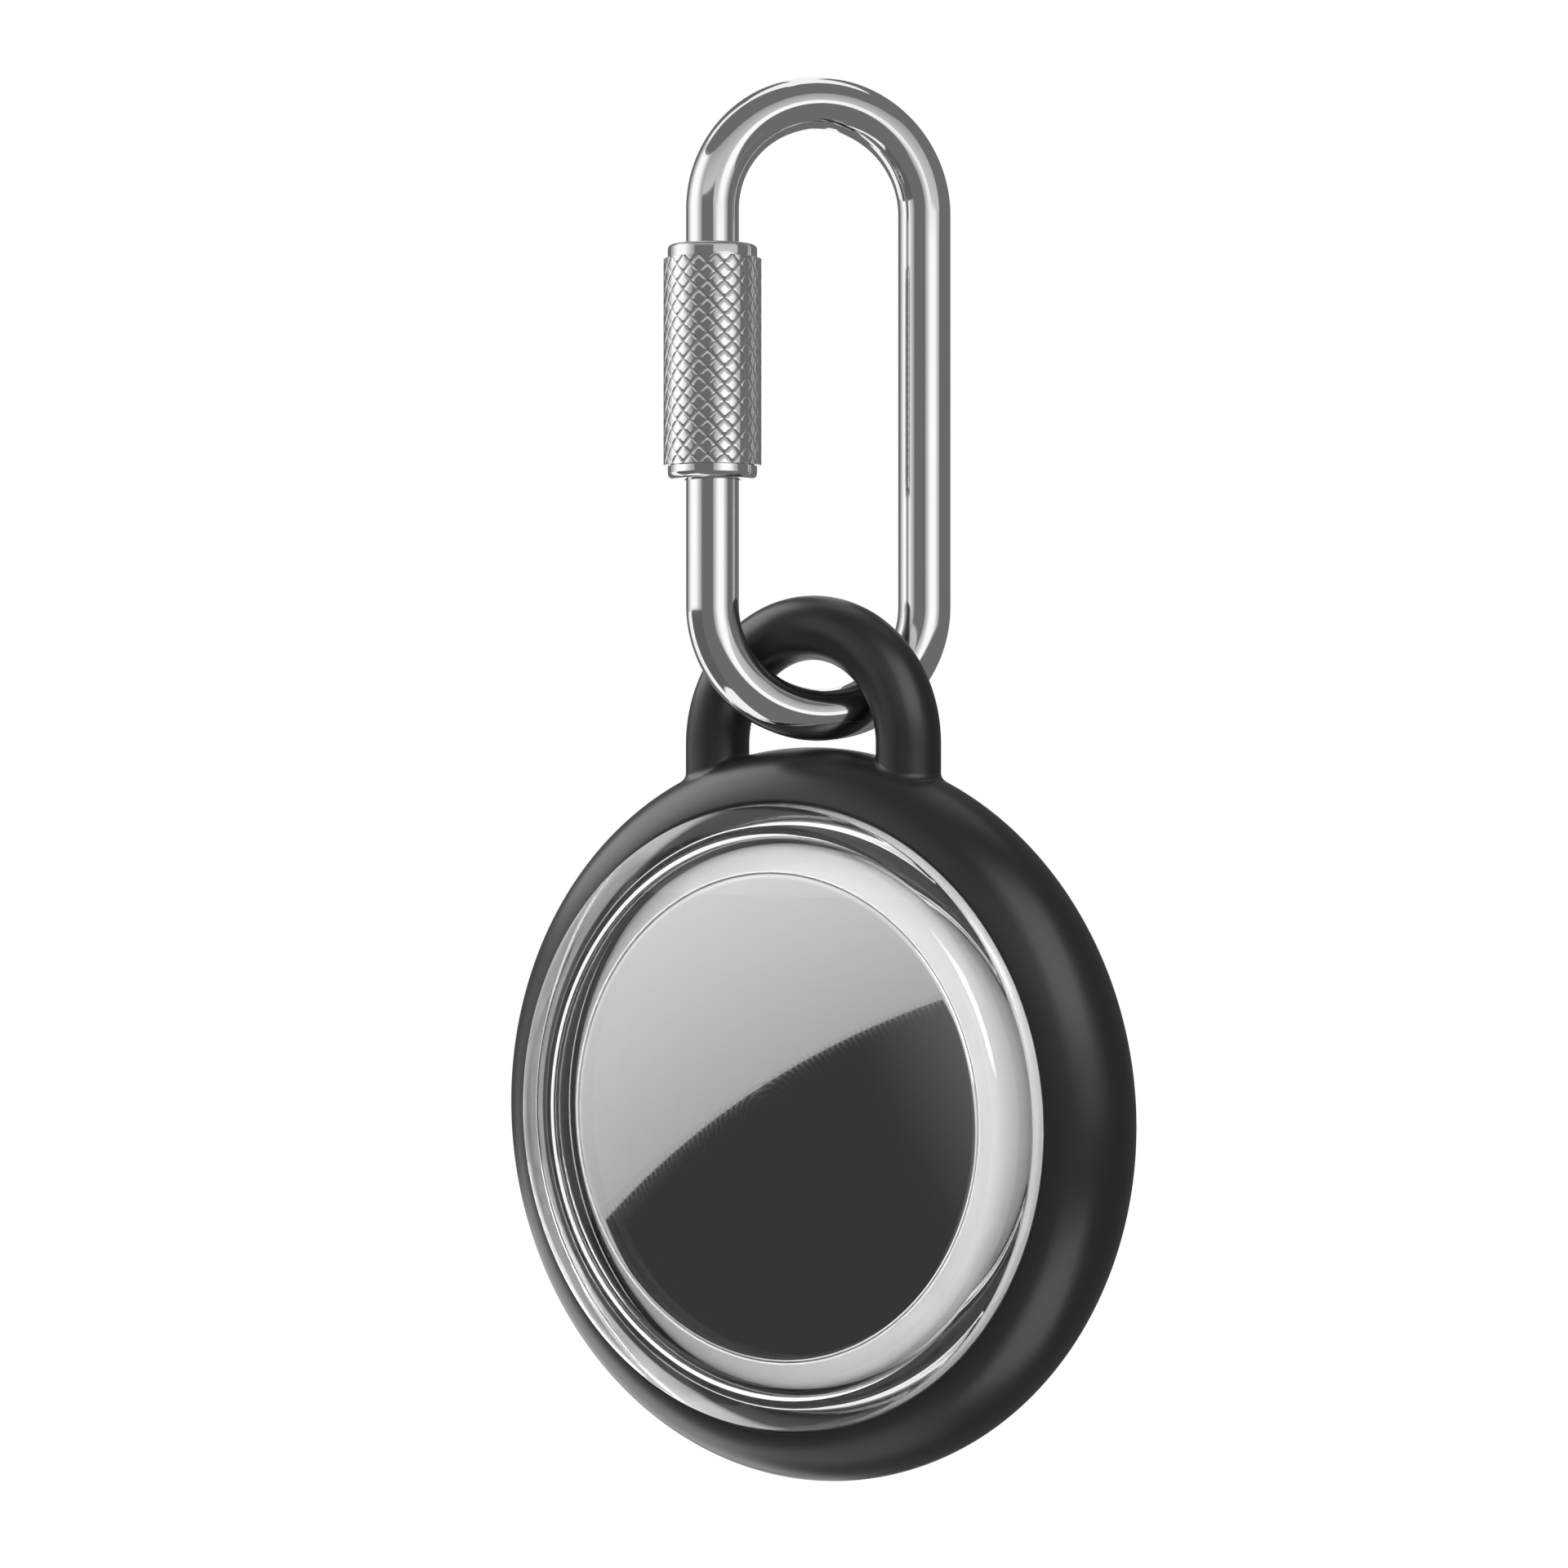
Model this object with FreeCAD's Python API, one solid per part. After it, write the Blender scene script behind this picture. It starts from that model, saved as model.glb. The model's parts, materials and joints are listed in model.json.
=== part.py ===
import FreeCAD, Part
import math
import os
from FreeCAD import Vector

# Tracker tag holder: a round tag in a clear two-part case, carried in a soft black ring
# that hangs by its loop from an oval screw link. Units are millimetres, +Z is up, the
# tag faces -Y. The origin is where the link hangs: the inside of its top bend.
# Widths are built outwards from the coin cell and depths from its back face, so the tag,
# the case and the ring all follow when the cell changes.

# Link
wire_r = 1.46
bend_r = 6.03
leg_length = 21.82
link_turn = 48.0
link_offset = 0.50

# Screw sleeve and the studs it runs on
sleeve_drop = 2.00
sleeve_travel = 6.75
travel_spare = 0.17
stud_step = 0.49
stud_inset = 0.10
upper_engagement = 2.75
wire_lap = 0.50
thread_pitch = 0.70
thread_depth = 0.30
thread_flat = 0.21
core_wall = 0.29
collar_step = 0.23
collar_length = 0.72
collar_round = 0.40
lip_height = 0.36
grip_wall = 0.36
grip_chamfer = 0.12

# Ring frame and loop
frame_wall = 3.17
section_r = 3.55
lip_round = 0.25
loop_tube_r = 1.79
loop_rise = 0.18
foot_cover = 0.20
foot_blend = 0.30

# Clear case
case_wall = 0.94
case_bead = 0.70
bead_half = 0.70
window = 0.80
window_bow = 0.23
window_inset = 0.79
shoulder_width = 1.25
shoulder_drop = 0.30
shoulder_sag = 0.10
seal_height = 0.95
rear_wall = 0.85
rear_width = 4.75
rear_drop = 1.50
rear_sag = 0.38

# Tracker tag housing
rim_width = 2.53
rim_land = 0.10
rim_sag = 0.03
rim_equator = 0.45
rim_back = 0.30
rim_wall = 0.95
ledge_width = 0.82
ledge_height = 0.45
groove_depth = 0.90
dome_wall = 0.80
adhesive = 0.10

# Battery cover and its bayonet
cover_sheet = 0.40
cover_bow = 0.25
cover_edge = 0.50
cover_round = 0.12
lock_wall = 1.30
lock_height = 1.00
tab_count = 3
tab_width_deg = 22.0
tab_height = 0.35
tab_root = 0.40
twist_deg = 30.0
notch_play_deg = 4.0

# Coin cell
cell_r = 10.00
cell_height = 3.20
cell_setback = 0.05
cell_sheet = 0.25
gasket_wall = 0.85

# Tray and contacts
tray_floor = 0.60
tray_wall = 0.80
tray_lap = 0.60
tray_hole_r = 3.00
contact_width = 4.00
contact_sheet = 0.20
contact_bump_r = 1.50

# Board, speaker and antenna
board_thick = 0.60
chip_size = (4.00, 0.60, 3.20)
shield_size = (4.60, 0.70, 5.00)
part_margin = 1.80
magnet_r = 3.55
magnet_height = 1.00
plate_height = 0.30
coil_wall = 0.40
coil_lift = 0.40
coil_reach = 1.00
yoke_wall = 0.45
yoke_floor = 0.30
yoke_lip = 0.10
antenna_wall = 0.90
antenna_height = 0.80
trace_wall = 0.06
trace_gap_deg = 110.0

# Clearances
film_gap = 0.01
slide_gap = 0.05
loose_gap = 0.10
seat_gap = 0.15
tag_play = 0.20
window_gap = 0.20
lock_gap = 0.25
board_gap = 0.25
coil_gap = 0.40
antenna_gap = 0.73
link_to_crest = 0.32
loop_play = 3.19

os.makedirs("parts", exist_ok=True)

# Radii from the cell outwards
tray_inner = cell_r + seat_gap
tray_outer = tray_inner + tray_wall
lock_inner = tray_outer + lock_gap
lock_outer = lock_inner + lock_wall
ledge_r = lock_outer + loose_gap
groove_r = ledge_r + groove_depth
mouth_r = ledge_r + ledge_width
cover_r = mouth_r - slide_gap
tag_r = mouth_r + rim_width
rim_inner = tag_r - rim_wall
skirt_inner = tag_r + tag_play
case_r = skirt_inner + case_wall
bore_r = case_r + slide_gap
frame_r = bore_r + frame_wall

# Depths: the front of each face counts towards -Y, the back towards +Y
cell_back = -cell_setback
cell_front = cell_back - cell_height
cover_inside = cell_front - loose_gap
cover_front = cover_inside - cover_sheet
rim_front = cover_front + cover_bow
mouth_floor = rim_front + cover_edge
ledge_floor = mouth_floor + ledge_height
cover_back = mouth_floor - slide_gap
tray_front = cell_back + loose_gap
tray_back = tray_front + tray_floor
board_front = tray_back + board_gap
board_back = board_front + board_thick
yoke_front = tray_back + loose_gap
magnet_front = yoke_front + yoke_floor
plate_front = magnet_front + magnet_height
yoke_back = plate_front + plate_height + yoke_lip
dome_base = rim_back + adhesive
dome_inner = yoke_back + coil_reach - dome_base
dome_rise = dome_inner + dome_wall
rear_inner = dome_rise + seat_gap
rear_face = dome_base + rear_inner + rear_wall

# Heights down the link to the ring
bend_top_z = -(bend_r - wire_r)
bend_low_z = bend_top_z - leg_length
link_low_z = bend_low_z - bend_r - wire_r
holder_x = -link_offset
holder_z = link_low_z - link_to_crest - frame_r
sleeve_length = leg_length - sleeve_drop - sleeve_travel - travel_spare
sleeve_top_z = bend_top_z - sleeve_drop
sleeve_low_z = sleeve_top_z - sleeve_length
collar_top_z = sleeve_top_z - collar_length
collar_low_z = sleeve_low_z + collar_length

in_link = FreeCAD.Placement(Vector(0, 0, 0), FreeCAD.Rotation(Vector(0, 0, 1), link_turn))
in_holder = FreeCAD.Placement(Vector(holder_x, 0, holder_z), FreeCAD.Rotation())


def chain(points):
    """Straight edges through a list of radius and depth pairs."""
    spots = [Vector(r, y, 0) for r, y in points]
    return [Part.makeLine(a, b) for a, b in zip(spots, spots[1:])]


def arc(start, middle, end):
    """Arc through three radius and depth pairs."""
    return Part.Arc(Vector(*start, 0), Vector(*middle, 0), Vector(*end, 0)).toShape()


def swell(start, end, sag):
    """Arc that stands out from the chord of two pairs by a sag, to the left of the way it runs."""
    run = end[0] - start[0]
    rise = end[1] - start[1]
    span = math.hypot(run, rise)
    middle = ((start[0] + end[0]) / 2 - sag * rise / span, (start[1] + end[1]) / 2 + sag * run / span)
    return arc(start, middle, end)


def crown(radius, top, edge):
    """Shallow arc from the axis at a top depth out to an edge depth."""
    return arc((0, top), (radius / 2, (3 * top + edge) / 4), (radius, edge))


def dome(radius, rise, base):
    """Quarter of an oval from the rim at a base depth up to the axis."""
    steps = 24
    spots = []
    for step in range(steps):
        angle = math.radians(step * 90 / steps)
        spots.append(Vector(radius * math.cos(angle), base + rise * math.sin(angle), 0))
    spots.append(Vector(0, base + rise, 0))
    curve = Part.BSplineCurve()
    curve.interpolate(spots)
    return curve.toShape()


def lathe(edges):
    """Solid of revolution about Y from edges drawn as radius and depth."""
    wire = Part.Wire(Part.__sortEdges__(edges))
    return Part.Face(wire).revolve(Vector(0, 0, 0), Vector(0, 1, 0), 360)


def turned(points):
    """Solid of revolution about the leg of the link from radius and height pairs."""
    spots = [Vector(r, 0, z) for r, z in points + points[:1]]
    solid = Part.Face(Part.makePolygon(spots)).revolve(Vector(0, 0, 0), Vector(0, 0, 1), 360)
    solid.translate(Vector(-bend_r, 0, 0))
    return solid


def band(inner, outer, front, back):
    """Plain ring about Y between two radii, or a disc when inner is zero."""
    ring = Part.makeCylinder(outer, back - front, Vector(0, front, 0), Vector(0, 1, 0))
    if inner > 0:
        ring = ring.cut(Part.makeCylinder(inner, back - front, Vector(0, front, 0), Vector(0, 1, 0)))
    return ring


def sector(inner, outer, front, back, middle_deg, width_deg):
    """Part of a ring about Y, centred on an angle counted from +X towards +Z."""
    half = math.radians(width_deg / 2)
    reach = 2 * outer / math.cos(half)
    corners = [Vector(0, front, 0)]
    for step in (-1, -0.5, 0, 0.5, 1):
        angle = math.radians(middle_deg) + step * half
        corners.append(Vector(reach * math.cos(angle), front, reach * math.sin(angle)))
    corners.append(corners[0])
    wedge = Part.Face(Part.makePolygon(corners)).extrude(Vector(0, back - front, 0))
    return band(inner, outer, front, back).common(wedge)


def block(size, middle):
    """Box of a size about a middle point."""
    corner = Vector(*middle) - Vector(*size) * 0.5
    return Part.makeBox(*size, corner)


def bent_wire(points, radius, bends):
    """Round wire through points in the plane of X and Z, straight or bent through a middle point."""
    edges = []
    for start, end, bend in zip(points, points[1:], bends):
        a = Vector(start[0], 0, start[1])
        b = Vector(end[0], 0, end[1])
        if bend is None:
            edges.append(Part.makeLine(a, b))
        else:
            edges.append(Part.Arc(a, Vector(bend[0], 0, bend[1]), b).toShape())
    section = Part.makeCircle(radius, Vector(points[0][0], 0, points[0][1]), Vector(0, 0, 1))
    return Part.Wire(edges).makePipeShell([Part.Wire(section)], True, True)


def circles(solid, radius):
    """Round edges of a solid with a given radius."""
    round_edges = [e for e in solid.Edges if e.Curve.TypeId == "Part::GeomCircle"]
    return [e for e in round_edges if abs(e.Curve.Radius - radius) < 1e-6]


def save(shape, node, place):
    """Move a finished shape to its place and write it."""
    shape.Placement = place.multiply(shape.Placement)
    shape.exportStep("parts/" + node + ".step")


# Link bar: bent wire with a gap in the leg at -X, and a threaded stud on each side of the gap
stud_r = wire_r + stud_step
root_r = stud_r - thread_depth
upper_stud = (sleeve_top_z - stud_inset, sleeve_top_z - upper_engagement)
lower_stud = (sleeve_top_z - sleeve_travel, collar_low_z)
link_bar = bent_wire(
    [(-bend_r, upper_stud[1] + wire_lap), (-bend_r, bend_top_z), (bend_r, bend_top_z),
     (bend_r, bend_low_z), (-bend_r, bend_low_z), (-bend_r, lower_stud[0] - wire_lap)],
    wire_r,
    [None, (0, bend_top_z + bend_r), None, (0, bend_low_z - bend_r), None])
for top, low in (upper_stud, lower_stud):
    profile = [(0, top), (root_r, top), (stud_r, top - thread_depth)]
    for turn in range(int((top - low - 2 * thread_depth) / thread_pitch)):
        start = top - thread_depth - turn * thread_pitch
        profile.append((stud_r, start - thread_flat / 2))
        profile.append((root_r, start - thread_pitch / 2))
        profile.append((stud_r, start - thread_pitch + thread_flat / 2))
    profile += [(stud_r, low + thread_depth), (root_r, low), (0, low)]
    link_bar = link_bar.fuse(turned(profile))
save(link_bar.removeSplitter(), "link_bar", in_link)

# Screw sleeve: core with smooth end collars, and the grip around it
core_bore = stud_r + slide_gap
core_r = core_bore + core_wall
grip_bore = core_r + slide_gap
grip_r = grip_bore + grip_wall
collar_r = grip_r - collar_step
lip_r = wire_r + loose_gap
lip_z = sleeve_low_z + lip_height
sleeve_core = turned([
    (core_bore, sleeve_top_z), (collar_r, sleeve_top_z), (collar_r, collar_top_z), (core_r, collar_top_z),
    (core_r, collar_low_z), (collar_r, collar_low_z), (collar_r, sleeve_low_z), (lip_r, sleeve_low_z),
    (lip_r, lip_z), (core_bore, lip_z),
])
collar_rims = [e for e in circles(sleeve_core, collar_r)
               if e.CenterOfMass.z > collar_top_z + slide_gap or e.CenterOfMass.z < collar_low_z - slide_gap]
save(sleeve_core.makeFillet(collar_round, collar_rims), "sleeve_core", in_link)

grip_top = collar_top_z - slide_gap
grip_low = collar_low_z + slide_gap
sleeve_grip = turned([
    (grip_bore, grip_top), (grip_r - grip_chamfer, grip_top), (grip_r, grip_top - grip_chamfer),
    (grip_r, grip_low + grip_chamfer), (grip_r - grip_chamfer, grip_low), (grip_bore, grip_low),
])
save(sleeve_grip, "sleeve_grip", in_link)

# Ring frame, grooved for the bead of the case, with its moulded loop
section_centre = frame_r - section_r
lip_y = math.sqrt(section_r ** 2 - (bore_r - section_centre) ** 2)
bead_groove_r = case_r + case_bead + slide_gap
bead_groove_half = bead_half + slide_gap
frame = lathe([arc((bore_r, -lip_y), (frame_r, 0), (bore_r, lip_y))] + chain([
    (bore_r, lip_y), (bore_r, bead_groove_half), (bead_groove_r, bead_groove_half),
    (bead_groove_r, -bead_groove_half), (bore_r, -bead_groove_half), (bore_r, -lip_y),
]))
frame_lips = [e for e in circles(frame, bore_r) if abs(e.CenterOfMass.y) > bead_groove_half + slide_gap]
frame = frame.makeFillet(lip_round, frame_lips)
loop_r = wire_r + loop_play + loop_tube_r
loop_z = frame_r + loop_rise
foot_z = math.sqrt((bead_groove_r + foot_cover) ** 2 - (loop_r - loop_tube_r) ** 2)
loop = bent_wire(
    [(-loop_r, foot_z), (-loop_r, loop_z), (loop_r, loop_z), (loop_r, foot_z)],
    loop_tube_r,
    [None, (0, loop_z + loop_r), None])
frame = frame.fuse(loop).removeSplitter()


def round_foot(edge):
    """True for the seam where a leg of the loop runs into the ring."""
    if edge.Curve.TypeId in ("Part::GeomLine", "Part::GeomCircle"):
        return False
    for spot in edge.discretize(7):
        off_leg = abs(math.hypot(abs(spot.x) - loop_r, spot.y) - loop_tube_r)
        if off_leg > slide_gap or spot.z < foot_z:
            return False
    return True


frame = frame.makeFillet(foot_blend, [e for e in frame.Edges if round_foot(e)])
save(frame, "frame", in_holder)

# Clear case: rear cover with a bead that sits in the frame, gasket, and front cover that plugs in
rear_flat_r = case_r - rear_width
rear_shoulder = rear_face - rear_drop
bead_r = case_r + case_bead
rear_shell = lathe([
    dome(skirt_inner, rear_inner, dome_base),
    swell((rear_flat_r, rear_face), (case_r, rear_shoulder), rear_sag),
] + chain([
    (0, dome_base + rear_inner), (0, rear_face), (rear_flat_r, rear_face),
]) + chain([
    (case_r, rear_shoulder), (case_r, bead_half), (bead_r, bead_half),
    (bead_r, -bead_half), (skirt_inner, -bead_half), (skirt_inner, dome_base),
]))
save(rear_shell, "rear_shell", in_holder)

seal_back = -bead_half - slide_gap
seal_front = seal_back - seal_height
seal_ring = band(skirt_inner + slide_gap, case_r - slide_gap, seal_front, seal_back)
save(seal_ring, "seal_ring", in_holder)

window_inner = cover_front - window_gap
window_front = window_inner - window
front_edge = window_front + window_bow
front_shoulder = front_edge + shoulder_drop
front_flat_r = case_r - shoulder_width
window_flat_r = front_flat_r - window_inset
window_edge = front_edge + window
skirt_end = seal_front - slide_gap
front_shell = lathe([
    crown(front_flat_r, window_front, front_edge),
    swell((case_r, front_shoulder), (front_flat_r, front_edge), shoulder_sag),
    crown(window_flat_r, window_inner, window_edge),
] + chain([
    (case_r, front_shoulder), (case_r, skirt_end), (skirt_inner, skirt_end),
    (skirt_inner, window_edge + skirt_inner - window_flat_r), (window_flat_r, window_edge),
]) + chain([
    (0, window_inner), (0, window_front),
]))
save(front_shell, "front_shell", in_holder)

# Tag housing: white rim in front, domed back, and the ring of adhesive between them
land_r = mouth_r + rim_land
groove_floor = ledge_floor + tab_height + 2 * loose_gap
tag_rim = lathe([swell((tag_r, -rim_equator), (land_r, rim_front), rim_sag)] + chain([
    (tag_r, -rim_equator), (tag_r, rim_back), (rim_inner, rim_back), (rim_inner, -rim_equator),
    (groove_r, groove_floor), (groove_r, ledge_floor), (ledge_r, ledge_floor),
    (ledge_r, mouth_floor), (mouth_r, mouth_floor), (mouth_r, rim_front), (land_r, rim_front),
]))
tab_spots = [90 + k * 360 / tab_count for k in range(tab_count)]
tab_tip_r = groove_r - loose_gap
for spot in tab_spots:
    tag_rim = tag_rim.cut(sector(lock_inner, tab_tip_r, mouth_floor, ledge_floor,
                                 spot + twist_deg, tab_width_deg + notch_play_deg))
save(tag_rim, "tag_rim", in_holder)

dome_inner_r = tag_r - dome_wall
tag_dome = lathe([
    dome(tag_r, dome_rise, dome_base),
    dome(dome_inner_r, dome_inner, dome_base),
] + chain([
    (dome_inner_r, dome_base), (tag_r, dome_base),
]) + chain([
    (0, dome_base + dome_inner), (0, dome_base + dome_rise),
]))
save(tag_dome, "tag_dome", in_holder)

dome_adhesive = band(rim_inner + slide_gap, tag_r - 2 * loose_gap, rim_back, dome_base)
save(dome_adhesive, "dome_adhesive", in_holder)

# Steel battery cover, and the ring under it with the bayonet tabs
round_r = cover_r - cover_round
round_y = rim_front + cover_round
step_r = lock_inner - loose_gap
battery_cover = lathe([
    crown(round_r, cover_front, rim_front),
    swell((cover_r, round_y), (round_r, rim_front), cover_round * (1 - math.sqrt(0.5))),
] + chain([
    (cover_r, round_y), (cover_r, cover_back), (step_r, cover_back),
    (step_r, cover_inside), (0, cover_inside), (0, cover_front),
]))
save(battery_cover, "battery_cover", in_holder)

lock_back = cover_back + lock_height
tab_front = ledge_floor + loose_gap
cover_lock_ring = band(lock_inner, lock_outer, cover_back, lock_back)
for spot in tab_spots:
    tab = sector(lock_outer - tab_root, tab_tip_r, tab_front, tab_front + tab_height, spot, tab_width_deg)
    cover_lock_ring = cover_lock_ring.fuse(tab)
save(cover_lock_ring.removeSplitter(), "cover_lock_ring", in_holder)

# Coin cell
can_inner = cell_r - cell_sheet
cap_r = can_inner - gasket_wall
gasket_front = cell_front + cell_sheet
cap_front = gasket_front + cell_sheet
cell_can = band(0, cell_r, cell_front, cell_back - 2 * cell_sheet)
cell_can = cell_can.cut(band(0, can_inner, gasket_front, cell_back))
save(cell_can, "cell_can", in_holder)

cell_cap = band(0, cap_r, cap_front, cell_back)
save(cell_cap, "cell_cap", in_holder)

cell_gasket = band(cap_r, can_inner, gasket_front, cell_back - cell_sheet)
cell_gasket = cell_gasket.fuse(band(0, can_inner, gasket_front, cap_front))
save(cell_gasket.removeSplitter(), "cell_gasket", in_holder)

# Tray for the cell with its contacts
trace_r = rim_inner - antenna_gap
trace_inner = trace_r - trace_wall
carrier_outer = trace_inner - film_gap
carrier_inner = carrier_outer - antenna_wall
board_r = carrier_inner - loose_gap
wall_front = lock_back - tray_lap
wall_height = tray_front - wall_front
wall_middle = (wall_front + tray_front) / 2
battery_tray = band(tray_hole_r, board_r, tray_front, tray_back)
battery_tray = battery_tray.fuse(band(tray_inner, tray_outer, wall_front, tray_front))
blades = []
for side in (-1, 1):
    slot = block((3 * tray_wall, wall_height, contact_width + 2 * loose_gap),
                 (side * (tray_inner + tray_outer) / 2, wall_middle, 0))
    battery_tray = battery_tray.cut(slot)
    blades.append(block((contact_sheet, wall_height, contact_width),
                        (side * (cell_r + slide_gap + contact_sheet / 2), wall_middle, 0)))
save(battery_tray.removeSplitter(), "battery_tray", in_holder)
save(Part.makeCompound(blades), "positive_contacts", in_holder)

negative_contact = band(0, tray_hole_r - loose_gap, tray_front, tray_front + contact_sheet)
negative_contact = negative_contact.fuse(band(0, contact_bump_r, cell_back + slide_gap / 2, tray_front))
save(negative_contact.removeSplitter(), "negative_contact", in_holder)

# Circuit board with its parts on both sides of the speaker
speaker_r = magnet_r + loose_gap + coil_wall + coil_gap + yoke_wall
board_hole_r = speaker_r + seat_gap
circuit_board = band(board_hole_r, board_r, board_front, board_back)
save(circuit_board, "circuit_board", in_holder)

for node, size, side in (("main_chip", chip_size, 1), ("radio_shield", shield_size, -1)):
    part_x = side * (board_r - part_margin - size[0] / 2)
    save(block(size, (part_x, board_back + size[1] / 2, 0)), node, in_holder)

# Speaker: the domed back is driven by a coil around a magnet
speaker_yoke = band(0, speaker_r, yoke_front, yoke_back)
speaker_yoke = speaker_yoke.cut(band(0, speaker_r - yoke_wall, magnet_front, yoke_back))
save(speaker_yoke, "speaker_yoke", in_holder)

save(band(0, magnet_r, magnet_front, plate_front), "speaker_magnet", in_holder)
save(band(0, magnet_r, plate_front, plate_front + plate_height), "speaker_plate", in_holder)

coil_inner = magnet_r + loose_gap
coil_outer = coil_inner + coil_wall
coil_back = dome_base + dome_inner * math.sqrt(1 - (coil_outer / dome_inner_r) ** 2) - slide_gap
save(band(coil_inner, coil_outer, magnet_front + coil_lift, coil_back), "speaker_coil", in_holder)

# Antenna ring around the board
antenna_back = tray_front + antenna_height
save(band(carrier_inner, carrier_outer, tray_front, antenna_back), "antenna_carrier", in_holder)

antenna_trace = band(trace_inner, trace_r, tray_front, antenna_back)
antenna_trace = antenna_trace.cut(sector(trace_inner, trace_r, tray_front, antenna_back, 270, trace_gap_deg))
save(antenna_trace, "antenna_trace", in_holder)
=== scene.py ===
import json
import math

import bmesh
import bpy
from bpy.props import FloatProperty, FloatVectorProperty, IntProperty, PointerProperty
from mathutils import Matrix, Vector


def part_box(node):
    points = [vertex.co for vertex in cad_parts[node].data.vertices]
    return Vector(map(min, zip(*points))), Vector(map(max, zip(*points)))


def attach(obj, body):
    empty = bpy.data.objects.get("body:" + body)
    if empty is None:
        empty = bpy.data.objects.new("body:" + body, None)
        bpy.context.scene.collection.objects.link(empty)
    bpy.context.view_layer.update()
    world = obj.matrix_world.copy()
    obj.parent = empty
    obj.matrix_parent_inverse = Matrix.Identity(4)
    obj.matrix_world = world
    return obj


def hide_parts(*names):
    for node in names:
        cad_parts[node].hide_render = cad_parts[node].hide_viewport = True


bl_info = {
    "name": "Tracker tag holder",
    "version": (1, 0, 0),
    "blender": (4, 5, 0),
    "location": "View3D > Sidebar > Tag holder",
    "description": "Dresses the tracker tag holder: screw link, ring frame, clear case and tag",
    "category": "Object",
}

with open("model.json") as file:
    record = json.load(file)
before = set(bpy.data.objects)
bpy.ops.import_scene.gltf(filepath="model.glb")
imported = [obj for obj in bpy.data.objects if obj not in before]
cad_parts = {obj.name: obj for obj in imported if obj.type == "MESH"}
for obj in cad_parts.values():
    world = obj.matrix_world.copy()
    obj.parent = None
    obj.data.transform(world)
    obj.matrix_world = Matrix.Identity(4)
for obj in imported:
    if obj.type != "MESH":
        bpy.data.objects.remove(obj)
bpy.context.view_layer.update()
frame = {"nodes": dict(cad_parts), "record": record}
MM = 0.001

# Boxes of the CAD nodes that the sizes below come from, read once
BOXES = {node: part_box(node) for node in (
    "link_bar", "sleeve_core", "sleeve_grip", "frame", "front_shell", "rear_shell", "tag_rim",
    "battery_cover",
)}


def low(node):
    """Lowest corner of a CAD node."""
    return Vector(BOXES[node][0])


def high(node):
    """Highest corner of a CAD node."""
    return Vector(BOXES[node][1])


def middle(node):
    """Middle of a CAD node's box."""
    return (low(node) + high(node)) / 2


def radius_of(node):
    """Half the width of a round CAD node."""
    return (high(node).x - low(node).x) / 2


def joint(name):
    """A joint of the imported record."""
    return next(j for j in frame["record"]["behaviour"]["joints"] if j["name"] == name)


# Where the CAD puts the tag, the link and the leg that the sleeve runs on
TAG = Vector((middle("tag_rim").x, 0, middle("tag_rim").z))
LEG = Vector((middle("sleeve_grip").x, middle("sleeve_grip").y, 0))
LINK_TURN = math.atan2(-joint("holder_swing")["axis"][0], joint("holder_swing")["axis"][1])
SLEEVE_TRAVEL = joint("sleeve_travel")["range_m"][1]

# Steps of the meshes
ROUND_STEPS = 256  # round the ring, the case and the steel cover
LINK_BEND_STEPS = 72  # along each bend of the link
LOOP_BEND_STEPS = 64  # along the loop
FOOT_STEPS = 8  # up each foot of the loop
THREAD_ROWS = 12  # along one turn of the thread
WALL_STEPS = 16  # along a reflector wall


def length(label, note, value):
    """A length in metres for a panel."""
    return FloatProperty(name=label, description=note, default=value, unit="LENGTH", precision=5)


def share(label, note, value):
    """A part of a whole for a panel."""
    return FloatProperty(name=label, description=note, default=value, min=0, max=1, subtype="FACTOR")


def colour(label, note, value):
    """A colour for a panel."""
    return FloatVectorProperty(name=label, description=note, default=value, subtype="COLOR",
                               size=3, min=0, max=1)


class LinkSizes(bpy.types.PropertyGroup):
    """Sizes of the bent wire and its threaded studs."""
    wire_radius: length("Wire radius", "Half the thickness of the wire", high("link_bar").z / 2)
    bend_radius: length("Bend radius", "From the middle of a bend to the middle of the wire", LEG.length)
    stud_radius: length("Stud radius", "Crest of the thread", 1.95 * MM)
    stud_inset: length("Stud inset", "Upper stud below the top of the sleeve", 0.10 * MM)
    engagement: length("Engagement", "Upper stud's end below the top of the sleeve", 2.75 * MM)
    thread_pitch: length("Thread pitch", "Height of one turn of the thread", 0.70 * MM)
    thread_depth: length("Thread depth", "From crest to root", 0.30 * MM)
    thread_flank: FloatProperty(name="Thread flank", description="Height of the flanks without a flat crest",
                                default=1.4, min=1, max=3)


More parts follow.
